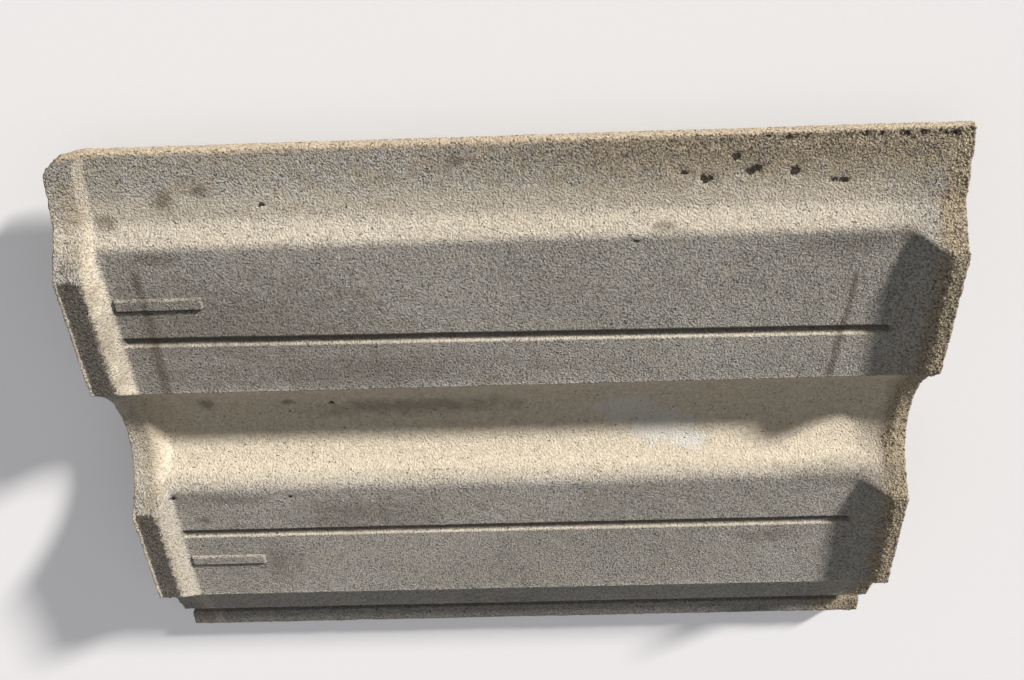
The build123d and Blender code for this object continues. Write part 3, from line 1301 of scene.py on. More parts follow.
class Step(Enum):
    """Steps of the trees' formulas: each is a node with its settings, its inputs in order and its output."""

    PLUS = ("ShaderNodeMath", {"operation": "ADD"}, (0, 1), 0)
    MINUS = ("ShaderNodeMath", {"operation": "SUBTRACT"}, (0, 1), 0)
    TIMES = ("ShaderNodeMath", {"operation": "MULTIPLY"}, (0, 1), 0)
    TIMES_PLUS = ("ShaderNodeMath", {"operation": "MULTIPLY_ADD"}, (0, 1, 2), 0)
    LEAST = ("ShaderNodeMath", {"operation": "MINIMUM"}, (0, 1), 0)
    MOST = ("ShaderNodeMath", {"operation": "MAXIMUM"}, (0, 1), 0)
    ABOVE = ("ShaderNodeMath", {"operation": "GREATER_THAN"}, (0, 1), 0)
    VECTOR_PLUS = ("ShaderNodeVectorMath", {"operation": "ADD"}, (0, 1), 0)
    VECTOR_MINUS = ("ShaderNodeVectorMath", {"operation": "SUBTRACT"}, (0, 1), 0)
    VECTOR_TIMES = ("ShaderNodeVectorMath", {"operation": "MULTIPLY"}, (0, 1), 0)
    VECTOR_LEAST = ("ShaderNodeVectorMath", {"operation": "MINIMUM"}, (0, 1), 0)
    VECTOR_MOST = ("ShaderNodeVectorMath", {"operation": "MAXIMUM"}, (0, 1), 0)
    LENGTH = ("ShaderNodeVectorMath", {"operation": "LENGTH"}, (0,), "Value")
    # A vector made longer or shorter by a factor
    SCALED = ("ShaderNodeVectorMath", {"operation": "SCALE"}, (0, "Scale"), 0)
    # A value brought from one range into another, or into 0 to 1, and kept there
    RANGED = ("ShaderNodeMapRange", {"clamp": True}, (0, 1, 2, 3, 4), 0)
    # Two colours mixed by a share, and a colour made lighter or darker by a shade
    MIX = ("ShaderNodeMix", {"data_type": "RGBA", "blend_type": "MIX"}, (0, 6, 7), 2)
    SHADE = ("ShaderNodeMix", {"data_type": "RGBA", "blend_type": "MULTIPLY"}, (0, 6, 7), 2)
    # A random number and a random vector, from the least and the greatest one and a seed
    RANDOM = ("FunctionNodeRandomValue", {"data_type": "FLOAT"}, (2, 3, "Seed"), 1)
    RANDOM_VECTOR = ("FunctionNodeRandomValue", {"data_type": "FLOAT_VECTOR"}, (0, 1, "Seed"), 0)


class Recipe:
    """A node tree under construction, to which all nodes are added in the same way."""

    # How far each pattern of a tree is moved from the one before, in metres or in its fourth dimension
    layer_shift: float = 0.31
    layer_step: float = 5.3

    def __init__(self, tree: bpy.types.NodeTree, where: Socket, seed: Socket | None = None) -> None:
        """Starts with the tree's own coordinates.

        Args:
            tree: The tree to add nodes to.
            where: Socket of its coordinates.
            seed: Socket of its seed, if it has one.
        """
        self.tree = tree
        self.where = where
        self.seed = seed
        self.layers = 0

    def add(self, kind: str, settings: dict | None = None, inputs: dict | None = None) -> bpy.types.Node:
        """Adds one node to this tree."""
        return add_node(self.tree, kind, settings, inputs)

    def do(self, step: Step, *values: Socket | float | tuple[float, ...]) -> Socket:
        """The result of one step on its values."""
        kind, settings, inputs, output = step.value
        return self.add(kind, settings, dict(zip(inputs, values))).outputs[output]

    def pattern(
        self, size_mm: float, detail: float = 2.0, rough: float = 0.5, where: Socket | None = None
    ) -> Socket:
        """A cloudy pattern round a half, unlike any other of this tree.

        Args:
            size_mm: Size of the lumps, in millimetres.
            detail: Number of finer layers.
            rough: How strong each finer layer is.
            where: Coordinates in metres, where they are not the tree's own.

        Returns:
            The pattern's value.
        """
        self.layers += 1
        where = self.where if where is None else where
        inputs = {"Scale": 1.0 / (size_mm * MM), "Detail": detail, "Roughness": rough}
        if self.seed is None:
            inputs["Vector"] = self.do(Step.VECTOR_PLUS, where, (self.layer_shift * self.layers,) * 3)
            return self.add("ShaderNodeTexNoise", None, inputs).outputs["Fac"]
        inputs |= {"Vector": where, "W": self.do(Step.PLUS, self.seed, self.layer_step * self.layers)}
        return self.add("ShaderNodeTexNoise", {"noise_dimensions": "4D"}, inputs).outputs["Fac"]


class MaterialRecipe(Recipe):
    """A material under construction, with its patterns on object coordinates."""

    def __init__(self, name: str, masks: Sequence[str] = ()) -> None:
        """Starts a material with the masks that it reads.

        Args:
            name: Name of the material.
            masks: Names of the mesh's attributes that it reads.
        """
        self.material = bpy.data.materials.new(name)
        self.material.use_nodes = True
        tree = self.material.node_tree
        tree.nodes.clear()
        super().__init__(tree, add_node(tree, "ShaderNodeTexCoord").outputs["Object"])
        readers = {mask: self.add("ShaderNodeAttribute", {"attribute_name": mask}) for mask in masks}
        self.masks = {mask: reader.outputs["Fac"] for mask, reader in readers.items()}

    def nearest(self, place: Socket, marks: Sequence[Mark], farthest: float = 9.0) -> Socket:
        """How far each place is from the nearest mark, in half sizes of that mark.

        Args:
            place: Distances from the head and from the underlock edge, in millimetres.
            marks: The marks to measure to.
            farthest: What counts as far from all of them.

        Returns:
            The distance, which is below 1 inside a mark.
        """
        found: Socket | float = farthest
        for mark in marks:
            away = self.do(Step.VECTOR_MINUS, place, (mark.along, mark.across, 0.0))
            sized = self.do(Step.VECTOR_TIMES, away, (1.0 / mark.long, 1.0 / mark.wide, 1.0))
            found = self.do(Step.LEAST, self.do(Step.LENGTH, sized), found)
        return found

    def ragged(self, mask: Socket, noise: Socket, amount: float, soft: float = 0.12) -> Socket:
        """A mask cut at a half, with a border that is soft wide and that a noise moves by some amount."""
        moved = self.do(Step.TIMES_PLUS, noise, amount, -amount / 2.0)
        return self.do(Step.RANGED, self.do(Step.PLUS, mask, moved), 0.5 - soft, 0.5 + soft)

    def finish(self, colour: Socket, roughness: float, height: Socket, relief_mm: float) -> Material:
        """Joins colour and relief in a matt mineral surface.

        Args:
            colour: The surface's colour.
            roughness: Its roughness.
            height: Its relief, from 0 to about 1.
            relief_mm: What a height of 1 stands for, in millimetres.

        Returns:
            The finished material.
        """
        depth = {"Strength": 1.0, "Distance": relief_mm * MM, "Height": height}
        bump = self.add("ShaderNodeBump", None, depth)
        inputs = {"Base Color": colour, "Roughness": roughness, "IOR": 1.5, "Normal": bump.outputs["Normal"]}
        shader = self.add("ShaderNodeBsdfPrincipled", None, inputs)
        self.add("ShaderNodeOutputMaterial", None, {"Surface": shader.outputs[0]})
        return self.material


class GeometryRecipe(Recipe):
    """A Geometry Nodes tree under construction, with named inputs for its sizes."""

    def __init__(self, name: str, sizes: Inputs, masks: Sequence[str]) -> None:
        """Starts a tree with named inputs and the masks that it reads.

        Args:
            name: Name of the tree.
            sizes: Values of its inputs by title, one of which is called Seed.
            masks: Names of the mesh's attributes that it reads.
        """
        tree = bpy.data.node_groups.new(name, "GeometryNodeTree")
        kinds = {float: "NodeSocketFloat", int: "NodeSocketInt", tuple: "NodeSocketVector"}
        tree.interface.new_socket("Geometry", in_out="INPUT", socket_type="NodeSocketGeometry")
        for title, value in sizes.items():
            tree.interface.new_socket(title, in_out="INPUT", socket_type=kinds[type(value)])
        tree.interface.new_socket("Geometry", in_out="OUTPUT", socket_type="NodeSocketGeometry")
        self.sizes = sizes
        self.given = add_node(tree, "NodeGroupInput").outputs
        super().__init__(tree, add_node(tree, "GeometryNodeInputPosition").outputs[0], self.given["Seed"])
        readers = {
            mask: self.add("GeometryNodeInputNamedAttribute", {"data_type": "FLOAT"}, {"Name": mask})
            for mask in masks
        }
        self.masks = {mask: reader.outputs[0] for mask, reader in readers.items()}

    def kept_inside(self, geometry: Socket) -> Socket:
        """Geometry with every point kept between the inputs Low Corner and High Corner.

        Args:
            geometry: What the tree has made so far.

        Returns:
            The same with its points moved inside.
        """
        above = self.do(Step.VECTOR_MOST, self.where, self.given["Low Corner"])
        inside = self.do(Step.VECTOR_LEAST, above, self.given["High Corner"])
        inputs = {"Geometry": geometry, "Position": inside}
        return self.add("GeometryNodeSetPosition", None, inputs).outputs[0]

    def grow(
        self, geometry: Socket, finish: Material, source: bpy.types.Mesh, name: str
    ) -> bpy.types.Object:
        """Ends the tree and runs it once on a mesh.

        Args:
            geometry: What the tree has made so far.
            finish: Material of the result.
            source: Mesh that the tree starts from.
            name: Name of the result.

        Returns:
            The result as a plain mesh object at the origin.
        """
        smooth = self.add("GeometryNodeSetShadeSmooth", None, {"Geometry": geometry})
        real = self.add("GeometryNodeRealizeInstances", None, {"Geometry": smooth.outputs[0]})
        dressed = self.add("GeometryNodeSetMaterial", None, {"Geometry": real.outputs[0], "Material": finish})
        self.add("NodeGroupOutput", None, {"Geometry": dressed.outputs[0]})
        carrier = bpy.data.objects.new(f"{name}_source", source)
        bpy.context.scene.collection.objects.link(carrier)
        modifier = carrier.modifiers.new("grow", "NODES")
        modifier.node_group = self.tree
        for item in self.tree.interface.items_tree:
            if item.in_out == "INPUT" and item.name in self.sizes:
                modifier[item.identifier] = self.sizes[item.name]
        graph = bpy.context.evaluated_depsgraph_get()
        mesh = bpy.data.meshes.new_from_object(carrier.evaluated_get(graph), depsgraph=graph)
        bpy.data.objects.remove(carrier)
        mesh.name = name
        piece = bpy.data.objects.new(name, mesh)
        bpy.context.scene.collection.objects.link(piece)
        return piece


def tree_inputs(part: "WornSkin | AggregateCoat", margin_mm: float) -> Inputs:
    """The inputs of a part's tree: its sizes, the box that its result stays inside, and its seed.

    Args:
        part: What holds the sizes, which are its float fields, in millimetres.
        margin_mm: How far the result stays inside the solid's box.

    Returns:
        The value of each input by title, with sizes in metres.
    """
    low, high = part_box(NODE)
    names = [field.name for field in fields(part) if isinstance(getattr(part, field.name), float)]
    inputs = {name.replace("_", " ").title(): getattr(part, name) * MM for name in names}
    inputs["Low Corner"] = tuple(c + margin_mm * MM for c in low)
    inputs["High Corner"] = tuple(c - margin_mm * MM for c in high)
    return inputs | {"Seed": part.seed}


@dataclass(frozen=True)
class WornSkin:
    """Relief that casting and weather left: lumps, voids in the cut ends, ragged edges and burrs.

    All sizes are in millimetres. The float fields are the inputs of the tree.
    """

    inset: float = 0.1
    broad_lump: float = 0.14
    close_lump: float = 0.16
    open_lump: float = 0.42
    void_depth: float = 2.4
    burr_height: float = 0.8
    nib_dish: float = 0.35
    end_inset: float = 0.06
    ragged_head: float = 0.7
    ragged_tail: float = 0.4
    ragged_lip: float = 0.12
    lip_groove: float = 0.35
    pit_depth: float = 1.2
    seed: int = 7
    # How far the result stays inside the solid's box
    box_margin: ClassVar[float] = 0.02
    # Widths of the lumps that each noise makes
    broad_width: ClassVar[float] = 30.0
    close_width: ClassVar[float] = 5.0
    open_width: ClassVar[float] = 3.4
    void_width: ClassVar[float] = 4.2
    burr_width: ClassVar[float] = 5.0
    end_width: ClassVar[float] = 4.0
    lip_width: ClassVar[float] = 8.0
    # The body's masks that say where each kind of relief is
    masks: ClassVar[tuple[str, ...]] = (
        "open_face", "cut_face", "nib", "lip_groove", "pit", "burr", "near_head", "near_tail", "near_lip",
    )

    def build(self, mesh: bpy.types.Mesh, finish: Material) -> bpy.types.Object:
        """Makes the worn body.

        Args:
            mesh: The body's even mesh, with its masks.
            finish: Material of the whole body.

        Returns:
            The body as a mesh object at the origin.
        """
        r = GeometryRecipe("worn_skin", tree_inputs(self, self.box_margin), self.masks)
        given = r.given

        def swing(width: float, depth: Socket) -> Socket:
            """Noise that swings about as far as a depth to both sides of nothing."""
            return r.do(Step.TIMES, r.do(Step.TIMES_PLUS, r.pattern(width), 4.0, -2.0), depth)

        out = r.do(Step.MINUS, swing(self.broad_width, given["Broad Lump"]), given["Inset"])
        out = r.do(Step.PLUS, out, swing(self.close_width, given["Close Lump"]))
        rough = r.do(Step.TIMES, swing(self.open_width, given["Open Lump"]), r.masks["open_face"])
        void = r.do(
            Step.TIMES,
            r.do(Step.RANGED, r.pattern(self.void_width), 0.52, 0.66),
            r.masks["cut_face"],
        )
        out = r.do(Step.MINUS, r.do(Step.PLUS, out, rough), r.do(Step.TIMES, void, given["Void Depth"]))
        for mask, depth in (("nib", "Nib Dish"), ("lip_groove", "Lip Groove"), ("pit", "Pit Depth")):
            out = r.do(Step.MINUS, out, r.do(Step.TIMES, r.masks[mask], given[depth]))
        burr = r.do(
            Step.TIMES,
            r.masks["burr"],
            r.do(Step.RANGED, r.pattern(self.burr_width), 0.35, 0.6, 0.55, 1.0),
        )
        along = []
        for near, ragged in (("near_head", "Ragged Head"), ("near_tail", "Ragged Tail")):
            depth = r.do(
                Step.TIMES,
                r.do(Step.RANGED, r.pattern(self.end_width, 3.0, 0.7), 0.38, 0.62),
                given[ragged],
            )
            along.append(r.do(Step.TIMES, r.do(Step.PLUS, depth, given["End Inset"]), r.masks[near]))
        lip = r.do(
            Step.TIMES,
            r.do(Step.RANGED, r.pattern(self.lip_width, 3.0, 0.6), 0.35, 0.65),
            given["Ragged Lip"],
        )
        inward = r.add("ShaderNodeCombineXYZ", None, {
            "X": r.do(Step.MINUS, along[0], along[1]),
            "Y": r.do(Step.TIMES, r.do(Step.TIMES, lip, r.masks["near_lip"]), -1.0),
            "Z": r.do(Step.TIMES, burr, given["Burr Height"]),
        })
        normal = r.add("GeometryNodeInputNormal").outputs[0]
        offset = r.do(Step.VECTOR_PLUS, r.do(Step.SCALED, normal, out), inward.outputs[0])
        moved = r.add("GeometryNodeSetPosition", None, {"Geometry": given["Geometry"], "Offset": offset})
        return r.grow(r.kept_inside(moved.outputs[0]), finish, mesh, "cast_body")


class GrainShape(Enum):
    """The two simple solids that grains are made from, as a node and its settings."""

    GRAVEL = ("GeometryNodeMeshUVSphere", {"Segments": 7, "Rings": 5, "Radius": 1.0})
    SAND = ("GeometryNodeMeshIcoSphere", {"Radius": 1.0, "Subdivisions": 1})


@dataclass(frozen=True)
class AggregateCoat:
    """Grains that stand out of the body where one of its masks says so.

    All sizes are in millimetres. The float fields are the inputs of the tree.
    """

    name: str
    mask: str
    seed: int
    shape: GrainShape = GrainShape.GRAVEL
    spacing: float = 1.4
    smallest: float = 0.6
    largest: float = 1.25
    sink: float = 0.45
    # How far the result stays inside the solid's box
    box_margin: ClassVar[float] = 0.03
    # Least value of the mask that carries grains
    least_mask: ClassVar[float] = 0.02
    # Grains tried for each square of the spacing
    crowding: ClassVar[float] = 4.0
    # Least and greatest stretch of a grain along its three axes
    flattest: ClassVar[tuple[float, ...]] = (0.75, 0.75, 0.6)
    longest: ClassVar[tuple[float, ...]] = (1.2, 1.2, 1.0)
    # Bumps on the largest grain's radius
    bumps: ClassVar[float] = 0.7

    def build(self, body: bpy.types.Object, finish: Material) -> bpy.types.Object:
        """Spreads the grains over the body.

        Args:
            body: The tile's body, which carries the mask.
            finish: Material of the grains.

        Returns:
            The grains as one mesh object at the origin.
        """
        r = GeometryRecipe(f"{self.name}_spread", tree_inputs(self, self.box_margin), (self.mask,))
        given, mask, seed = r.given, r.masks[self.mask], r.given["Seed"]
        patch = r.add("GeometryNodeSeparateGeometry", {"domain": "FACE"}, {
            "Geometry": given["Geometry"],
            "Selection": r.do(Step.ABOVE, mask, self.least_mask),
        })
        points = r.add("GeometryNodeDistributePointsOnFaces", {"distribute_method": "POISSON"}, {
            "Mesh": patch.outputs["Selection"],
            "Distance Min": given["Spacing"],
            "Density Max": self.crowding / (self.spacing * MM) ** 2,
            "Density Factor": mask,
            "Seed": seed,
        })
        down = r.do(Step.SCALED, points.outputs["Normal"], r.do(Step.TIMES, given["Sink"], -1.0))
        sunk = r.add("GeometryNodeSetPosition", None, {"Geometry": points.outputs["Points"], "Offset": down})
        kind, settings = self.shape.value
        stone = r.add(kind, None, settings)
        size = r.do(Step.RANDOM, given["Smallest"], given["Largest"], seed)
        form = r.do(Step.RANDOM_VECTOR, self.flattest, self.longest, seed)
        turn = r.do(Step.RANDOM_VECTOR, (0.0, 0.0, 0.0), (math.tau, math.tau, math.tau), seed)
        placed = r.add("GeometryNodeInstanceOnPoints", None, {
            "Points": sunk.outputs[0],
            "Instance": stone.outputs["Mesh"],
            "Rotation": turn,
            "Scale": r.do(Step.SCALED, form, size),
        })
        real = r.add("GeometryNodeRealizeInstances", None, {"Geometry": placed.outputs["Instances"]})
        scale = self.bumps / (self.largest * MM)
        lump = r.add("ShaderNodeTexNoise", None, {"Vector": r.where, "Scale": scale})
        push = r.do(
            Step.SCALED,
            r.do(Step.VECTOR_MINUS, lump.outputs["Color"], (0.5, 0.5, 0.5)),
            given["Largest"],
        )
        uneven = r.add("GeometryNodeSetPosition", None, {"Geometry": real.outputs[0], "Offset": push})
        return r.grow(r.kept_inside(uneven.outputs[0]), finish, body.data, self.name)


@dataclass(frozen=True)
class CastConcreteFinish:
    """Cast roofing concrete with a moulded face: cement paste over fine sand, matt, pitted and weathered."""

    pits: tuple[Mark, ...]
    name: str = "weathered_cast_concrete"
    cement: str = "918d86"
    pale: str = "9f9b94"
    sand: str = "989184"
    smooth_paste: str = "bcb19e"
    nib_face: str = "5f5850"
    open_sand: str = "938671"
    tail_band: str = "a69880"
    lip_skin: str = "a69883"
    cut_face: str = "6a5b48"
    weather_face: str = "87837b"
    damp: str = "6c665d"
    # Dark colour for the grooves and the bars' feet, which is painted shade
    grime: str = "4b463e"
    stain: str = "4a3a29"
    # Near-black inside pits and pores, which is painted shade in their hollows
    pit: str = "241d17"
    lime: str = "cbc8c1"
    # Broad clouds of paste, patches of showing sand, uneven borders and the weather side's slurry
    cloud_mm: float = 70.0
    patch_mm: float = 9.0
    uneven_mm: float = 2.2
    slurry_mm: float = 2.6
    # Borders of the lip's skin, of the nibs' open faces and of the lime
    lip_border_mm: float = 1.6
    nib_border_mm: float = 3.6
    lime_border_mm: float = 7.0
    # Single grains of sand, the finest grain, pores and the broken rims of pits
    lump_mm: float = 1.0
    grain_mm: float = 1.05
    pore_mm: float = 1.15
    pit_rim_mm: float = 1.7
    # How far the pits' rims wander along and across the tile, and how far the slurry is drawn out
    pit_rim_swing: tuple[float, float, float] = (4.5, 3.5, 0.0)
    slurry_stretch: tuple[float, float, float] = (0.04, 1.0, 1.0)
    # The body's masks that say where each kind of wear, painted shade and painted highlight shows
    masks: tuple[str, ...] = (
        "open_face", "paste", "weather_face", "tan", "rim_grain", "lip_skin",
        "nib", "damp", "grime", "cut_face", "stain", "lime",
    )
    roughness: float = 0.93
    relief_mm: float = 0.42

    def build(self) -> Material:
        """Makes the material, with its wear read from the body's masks.

        Returns:
            The finished material.
        """
        r = MaterialRecipe(self.name, self.masks)
        open_face, paste, weather = (r.masks[name] for name in ("open_face", "paste", "weather_face"))
        uneven = r.pattern(self.uneven_mm, 3.0, 0.65)
        patchy = r.pattern(self.patch_mm, 4.0, 0.6)
        wander = r.do(Step.RANGED, patchy, 0.3, 0.7, -0.3, 0.3)
        # Cement paste in clouds, with sand showing through in patches, at the lip and on the tail rim
        clouds = r.do(Step.RANGED, r.pattern(self.cloud_mm, 3.0), 0.36, 0.64)
        colour = r.do(Step.MIX, clouds, linear(self.cement), linear(self.pale))
        colour = r.do(Step.MIX, r.do(Step.RANGED, patchy, 0.42, 0.66, 0.0, 0.45), colour, linear(self.sand))
        # Smooth paste, whose mask also carries a painted highlight on the walls that face the lamp
        colour = r.do(Step.MIX, r.do(Step.TIMES, paste, 0.9), colour, linear(self.smooth_paste))
        tan = r.do(Step.RANGED, r.do(Step.PLUS, r.masks["tan"], wander), 0.1, 0.9, 0.0, 0.95)
        colour = r.do(Step.MIX, tan, colour, linear(self.open_sand))
        colour = r.do(
            Step.MIX,
            r.ragged(r.masks["rim_grain"], uneven, 0.8, 0.35),
            colour,
            linear(self.tail_band),
        )
        # Slurry drawn along the weather side, and the skin on the lip's edge
        drawn = r.pattern(self.slurry_mm, 3.0, 0.6, r.do(Step.VECTOR_TIMES, r.where, self.slurry_stretch))
        slurry = r.do(
            Step.MIX,
            r.do(Step.RANGED, drawn, 0.35, 0.65, 0.0, 0.5),
            linear(self.weather_face),
            linear(self.cement),
        )
        colour = r.do(Step.MIX, r.do(Step.TIMES, weather, 0.85), colour, slurry)
        lip_skin = r.ragged(r.masks["lip_skin"], r.pattern(self.lip_border_mm, 3.0, 0.7), 1.7, 0.08)
        colour = r.do(Step.MIX, lip_skin, colour, linear(self.lip_skin))
        # Dark open faces of the nibs, damp, painted shade in the grooves and at the bars' feet, and the cut
        # ends
        nib = r.ragged(r.masks["nib"], r.pattern(self.nib_border_mm, 4.0, 0.75), 2.4, 0.08)
        colour = r.do(Step.MIX, r.do(Step.TIMES, nib, 0.92), colour, linear(self.nib_face))
        damp = r.do(Step.RANGED, r.do(Step.PLUS, r.masks["damp"], wander), 0.2, 0.8, 0.0, 0.6)
        colour = r.do(Step.MIX, damp, colour, linear(self.damp))
        # Painted shade in the grooves and at the bars' feet
        colour = r.do(Step.MIX, r.do(Step.TIMES, r.masks["grime"], 0.95), colour, linear(self.grime))
        colour = r.do(Step.MIX, r.masks["cut_face"], colour, linear(self.cut_face))
        # Paste over single grains, each of its own tone; the gaps between them on open faces and the low
        # spots of the fine grain are darkened, partly dirt in the cavities and partly painted shade
        grid = {"Vector": r.where, "Scale": 1.0 / (self.lump_mm * MM)}
        cells = r.add("ShaderNodeTexVoronoi", {"feature": "F1"}, grid)
        tone = r.add("ShaderNodeSeparateColor", None, {"Color": cells.outputs["Color"]}).outputs[0]
        reach = r.do(Step.TIMES, cells.outputs["Distance"], cells.outputs["Distance"])
        rough_face = r.do(Step.MOST, open_face, nib)
        share = r.do(
            Step.TIMES,
            r.do(Step.MINUS, tone, 0.5),
            r.do(Step.RANGED, rough_face, 0.0, 1.0, 0.28, 0.42),
        )
        # Darker gaps between the grains: partly dirt, partly painted shade
        gap = r.do(
            Step.TIMES,
            r.do(Step.RANGED, reach, 0.12, 0.45),
            r.do(Step.RANGED, rough_face, 0.1, 1.0, 0.0, 0.4),
        )
        grain = r.pattern(self.grain_mm, 2.0, 0.7)
        painted_hollow_shade = r.do(
            Step.TIMES,
            r.do(Step.RANGED, grain, 0.52, 0.34),
            r.do(Step.RANGED, paste, 0.0, 1.0, 0.66, 0.1),
        )
        mottle = r.do(Step.RANGED, uneven, 0.3, 0.7, 1.06, 1.4)
        shade = r.do(Step.MINUS, r.do(Step.PLUS, share, mottle), r.do(Step.PLUS, gap, painted_hollow_shade))
        colour = r.do(Step.SHADE, 1.0, colour, shade)
        # Water stains, the bloom of lime, and pores and pits, of which the pits have broken rims; the
        # near-black inside pores and pits is painted shade in their hollows
        stain = r.ragged(r.masks["stain"], uneven, 1.5, 0.24)
        worn = r.do(Step.RANGED, patchy, 0.3, 0.7, 0.4, 0.75)
        colour = r.do(Step.MIX, r.do(Step.TIMES, stain, worn), colour, linear(self.stain))
        lime = r.ragged(r.masks["lime"], r.pattern(self.lime_border_mm, 5.0, 0.75), 1.6, 0.09)
        colour = r.do(Step.MIX, r.do(Step.TIMES, lime, 0.85), colour, linear(self.lime))
        loose = r.do(Step.TIMES, r.do(Step.MINUS, rough_face, r.do(Step.TIMES, paste, 0.8)), 0.05)
        loose = r.do(Step.PLUS, loose, r.do(Step.RANGED, patchy, 0.35, 0.65, 0.03, -0.03))
        pores = r.do(Step.RANGED, r.do(Step.MINUS, r.pattern(self.pore_mm, 1.0), loose), 0.365, 0.295)
        grid = {"Vector": r.where, "Scale": 1.0 / (self.pit_rim_mm * MM), "Detail": 2.0}
        broken = r.add("ShaderNodeTexNoise", None, grid)
        shifts = r.do(Step.VECTOR_MINUS, broken.outputs["Color"], (0.5, 0.5, 0.5))
        place = r.add("ShaderNodeAttribute", {"attribute_name": "section_place"}).outputs["Vector"]
        rim = r.do(Step.VECTOR_PLUS, place, r.do(Step.VECTOR_TIMES, shifts, self.pit_rim_swing))
        pit = r.do(Step.RANGED, r.nearest(rim, self.pits), 1.15, 0.85)
        chips = r.do(Step.RANGED, broken.outputs["Fac"], 0.5, 0.62, 0.0, 0.4)
        pit_shade_and_crumbs = r.do(Step.MIX, chips, linear(self.pit), linear(self.cut_face))
        # Pores and pits painted near-black as painted shade, with brown broken bits on the pits' rims
        colour = r.do(Step.MIX, r.do(Step.MOST, pit, r.do(Step.TIMES, pores, 0.7)), colour, pit_shade_and_crumbs)
        # Relief: fine grain in rougher and smoother patches, the tops of single grains, and pores
        smooth = r.do(Step.MOST, r.do(Step.TIMES, paste, 0.65), r.do(Step.TIMES, weather, 0.55))
        smooth = r.do(Step.MOST, smooth, r.do(Step.TIMES, lip_skin, 0.7))
        strength = r.do(Step.MINUS, r.do(Step.RANGED, rough_face, 0.0, 1.0, 1.6, 2.2), smooth)
        strength = r.do(Step.TIMES, strength, r.do(Step.RANGED, patchy, 0.3, 0.7, 1.25, 0.8))
        tops = r.do(Step.TIMES, r.do(Step.RANGED, grain, 0.36, 0.54), 0.34)
        lumps = r.do(Step.MINUS, r.do(Step.PLUS, grain, tops), r.do(Step.TIMES, reach, 0.5))
        height = r.do(Step.MINUS, r.do(Step.TIMES, lumps, strength), r.do(Step.TIMES, pores, 1.2))
        return r.finish(colour, self.roughness, height, self.relief_mm)


@dataclass(frozen=True)
class AggregateFinish:
    """River sand and fine gravel in broken concrete, dusted with cement: each grain has its own tone."""

    name: str
    tones: tuple[str, ...]
    roughness: float = 0.9
    speck_mm: float = 0.5
    relief_mm: float = 0.1

    def build(self) -> Material:
        """Makes the material, which tells the grains apart by their islands of the mesh.

        Returns:
            The finished material.
        """
        r = MaterialRecipe(self.name)
        island = r.add("ShaderNodeNewGeometry").outputs["Random Per Island"]
        tones = r.add("ShaderNodeValToRGB", None, {"Fac": island})
        stops = tones.color_ramp.elements
        while len(stops) < len(self.tones):
            stops.new(1.0)
        for number, tone in enumerate(self.tones):
            stops[number].position = number / (len(self.tones) - 1)
            stops[number].color = linear(tone)
        specks = r.pattern(self.speck_mm, 2.0)
        colour = r.do(
            Step.SHADE,
            1.0,
            tones.outputs["Color"],
            r.do(Step.RANGED, specks, 0.3, 0.7, 0.75, 1.15),
        )
        return r.finish(colour, self.roughness, specks, self.relief_mm)


@dataclass(frozen=True)
class PlainFloorFinish:
    """Matt pale painted board under the tile."""

    name: str = "matt_pale_painted_board"
    colour: str = "f4f3f4"
    tint: str = "f1f0f2"
    roughness: float = 0.95
    gloss: float = 0.1
    lift: float = 0.14
    cloud_mm: float = 400.0
    grain_mm: float = 3.0
    relief_mm: float = 0.02

    def build(self) -> Material:
        """Makes the material, a little brighter to the camera, which keeps the backdrop pale.

        Returns:
            The finished material.
        """
        r = MaterialRecipe(self.name)
        colour = r.do(Step.MIX, r.pattern(self.cloud_mm, 1.0), linear(self.tint), linear(self.colour))
        seen = r.add("ShaderNodeLightPath").outputs["Is Camera Ray"]
        material = r.finish(colour, self.roughness, r.pattern(self.grain_mm, 1.0), self.relief_mm)
        shader = next(node for node in material.node_tree.nodes if node.type == "BSDF_PRINCIPLED")
        shader.inputs["Specular IOR Level"].default_value = self.gloss
        shader.inputs["Emission Color"].default_value = linear(self.colour)
        material.node_tree.links.new(r.do(Step.TIMES, seen, self.lift), shader.inputs["Emission Strength"])
        return material


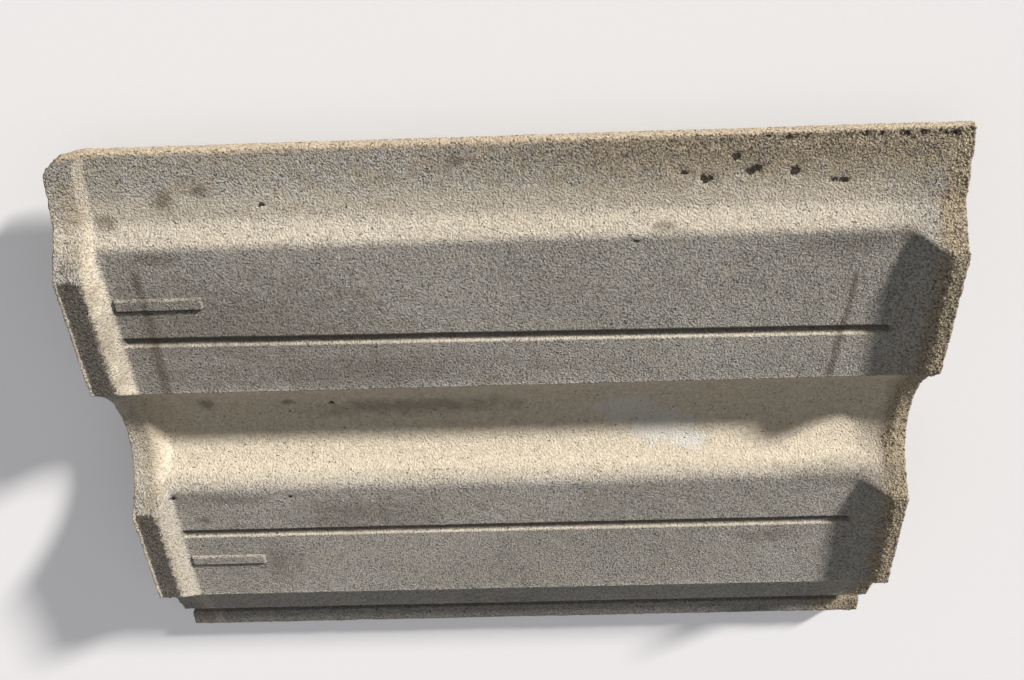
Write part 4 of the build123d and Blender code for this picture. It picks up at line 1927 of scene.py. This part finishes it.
@dataclass(frozen=True)
class Studio:
    """Pale floor, one broad distant lamp, an even room light and the camera, in metres and degrees."""

    floor_size: float = 60.0
    lamp_direction: tuple[float, float, float] = (0.70, 0.66, 0.28)
    lamp_strength: float = 6.1
    lamp_spread: float = 6.0
    lamp_colour: str = "fffbf5"
    room_strength: float = 0.29
    room_colour: str = "f3f4f7"
    # Focal length and sensor width of the camera, in millimetres
    focal_length: float = 36.87
    sensor_width: float = 36.0
    nearest_seen: float = 0.01
    eye: tuple[float, float, float] = (0.0125, 0.3601, 0.4594)
    right: tuple[float, float, float] = (0.99937, -0.0353, -0.0033)
    back: tuple[float, float, float] = (0.0229, 0.5709, 0.8207)

    def build_floor(self, finish: Material) -> None:
        """Lays the floor that the tile rests on.

        Args:
            finish: Material of the floor.
        """
        half = self.floor_size / 2.0
        corners = [(-half, -half, 0.0), (half, -half, 0.0), (half, half, 0.0), (-half, half, 0.0)]
        mesh = bpy.data.meshes.new("floor")
        mesh.from_pydata(corners, [], [(0, 1, 2, 3)])
        mesh.materials.append(finish)
        floor = bpy.data.objects.new("floor", mesh)
        bpy.context.scene.collection.objects.link(floor)

    def build_lights(self) -> None:
        """Sets the lamp beyond the tail's underlock corner, and the even light of the room."""
        lamp = bpy.data.lights.new("key", "SUN")
        lamp.energy = self.lamp_strength
        lamp.angle = math.radians(self.lamp_spread)
        lamp.color = linear(self.lamp_colour)[:3]
        key = bpy.data.objects.new("key", lamp)
        key.rotation_euler = Vector(self.lamp_direction).to_track_quat("Z", "Y").to_euler()
        bpy.context.scene.collection.objects.link(key)
        world = bpy.data.worlds.new("room")
        world.use_nodes = True
        tree = world.node_tree
        tree.nodes.clear()
        path = add_node(tree, "ShaderNodeLightPath")
        rays = {0: path.outputs["Is Camera Ray"], 1: path.outputs["Is Glossy Ray"]}
        seen = add_node(tree, "ShaderNodeMath", {"operation": "MAXIMUM"}, rays)
        levels = {"Value": seen.outputs[0], "To Min": self.room_strength, "To Max": 1.0}
        strength = add_node(tree, "ShaderNodeMapRange", None, levels)
        light = {"Color": linear(self.room_colour), "Strength": strength.outputs["Result"]}
        glow = add_node(tree, "ShaderNodeBackground", None, light)
        add_node(tree, "ShaderNodeOutputWorld", None, {"Surface": glow.outputs[0]})
        bpy.context.scene.world = world

    def build_camera(self) -> None:
        """Sets the camera above the tile, at the height and angle of the picture."""
        back = Vector(self.back).normalized()
        right = Vector(self.right)
        right = (right - back * right.dot(back)).normalized()
        lens = bpy.data.cameras.new("camera")
        lens.lens = self.focal_length
        lens.sensor_width = self.sensor_width
        lens.sensor_fit = "HORIZONTAL"
        lens.clip_start = self.nearest_seen
        camera = bpy.data.objects.new("camera", lens)
        turn = Matrix((right, back.cross(right), back)).transposed().to_4x4()
        camera.matrix_world = Matrix.Translation(Vector(self.eye)) @ turn
        bpy.context.scene.collection.objects.link(camera)
        bpy.context.scene.camera = camera


def main() -> None:
    """Builds the tile and the studio, in order."""
    logging.basicConfig(level=logging.INFO, format="%(name)s: %(message)s")
    low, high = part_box(NODE)
    section = TileSection(length=round((high.x - low.x) / MM, 2))
    relief, wear = PanelRelief(), Wear()
    studio = Studio()
    studio.build_camera()
    studio.build_lights()
    studio.build_floor(PlainFloorFinish().build())
    hull = TileBody(section, relief, Weathering(section, relief, wear)).build()
    body = WornSkin().build(hull, CastConcreteFinish(wear.pits).build())
    gravel = AggregateFinish("broken_river_gravel", GRAVEL_TONES).build()
    sand = AggregateFinish("open_river_sand", SAND_TONES).build()
    head_end = AggregateCoat("head_end_gravel", "head_grain", seed=11)
    tail_end = AggregateCoat("tail_end_gravel", "tail_grain", seed=12)
    tail_rim = AggregateCoat(
        "tail_rim_sand",
        "rim_grain",
        seed=13,
        shape=GrainShape.SAND,
        spacing=1.5,
        smallest=0.45,
        largest=1.1,
        sink=0.38,
    )
    coats = [(head_end, gravel), (tail_end, gravel), (tail_rim, sand)]
    pieces = [body] + [coat.build(body, finish) for coat, finish in coats]
    for piece in pieces:
        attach(piece, BODY)
        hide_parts(NODE)
        log.info("%s: %d triangles", piece.name, sum(len(p.vertices) - 2 for p in piece.data.polygons))
    bpy.context.scene.view_settings.view_transform = "Standard"


if __name__ == "__main__":
    main()
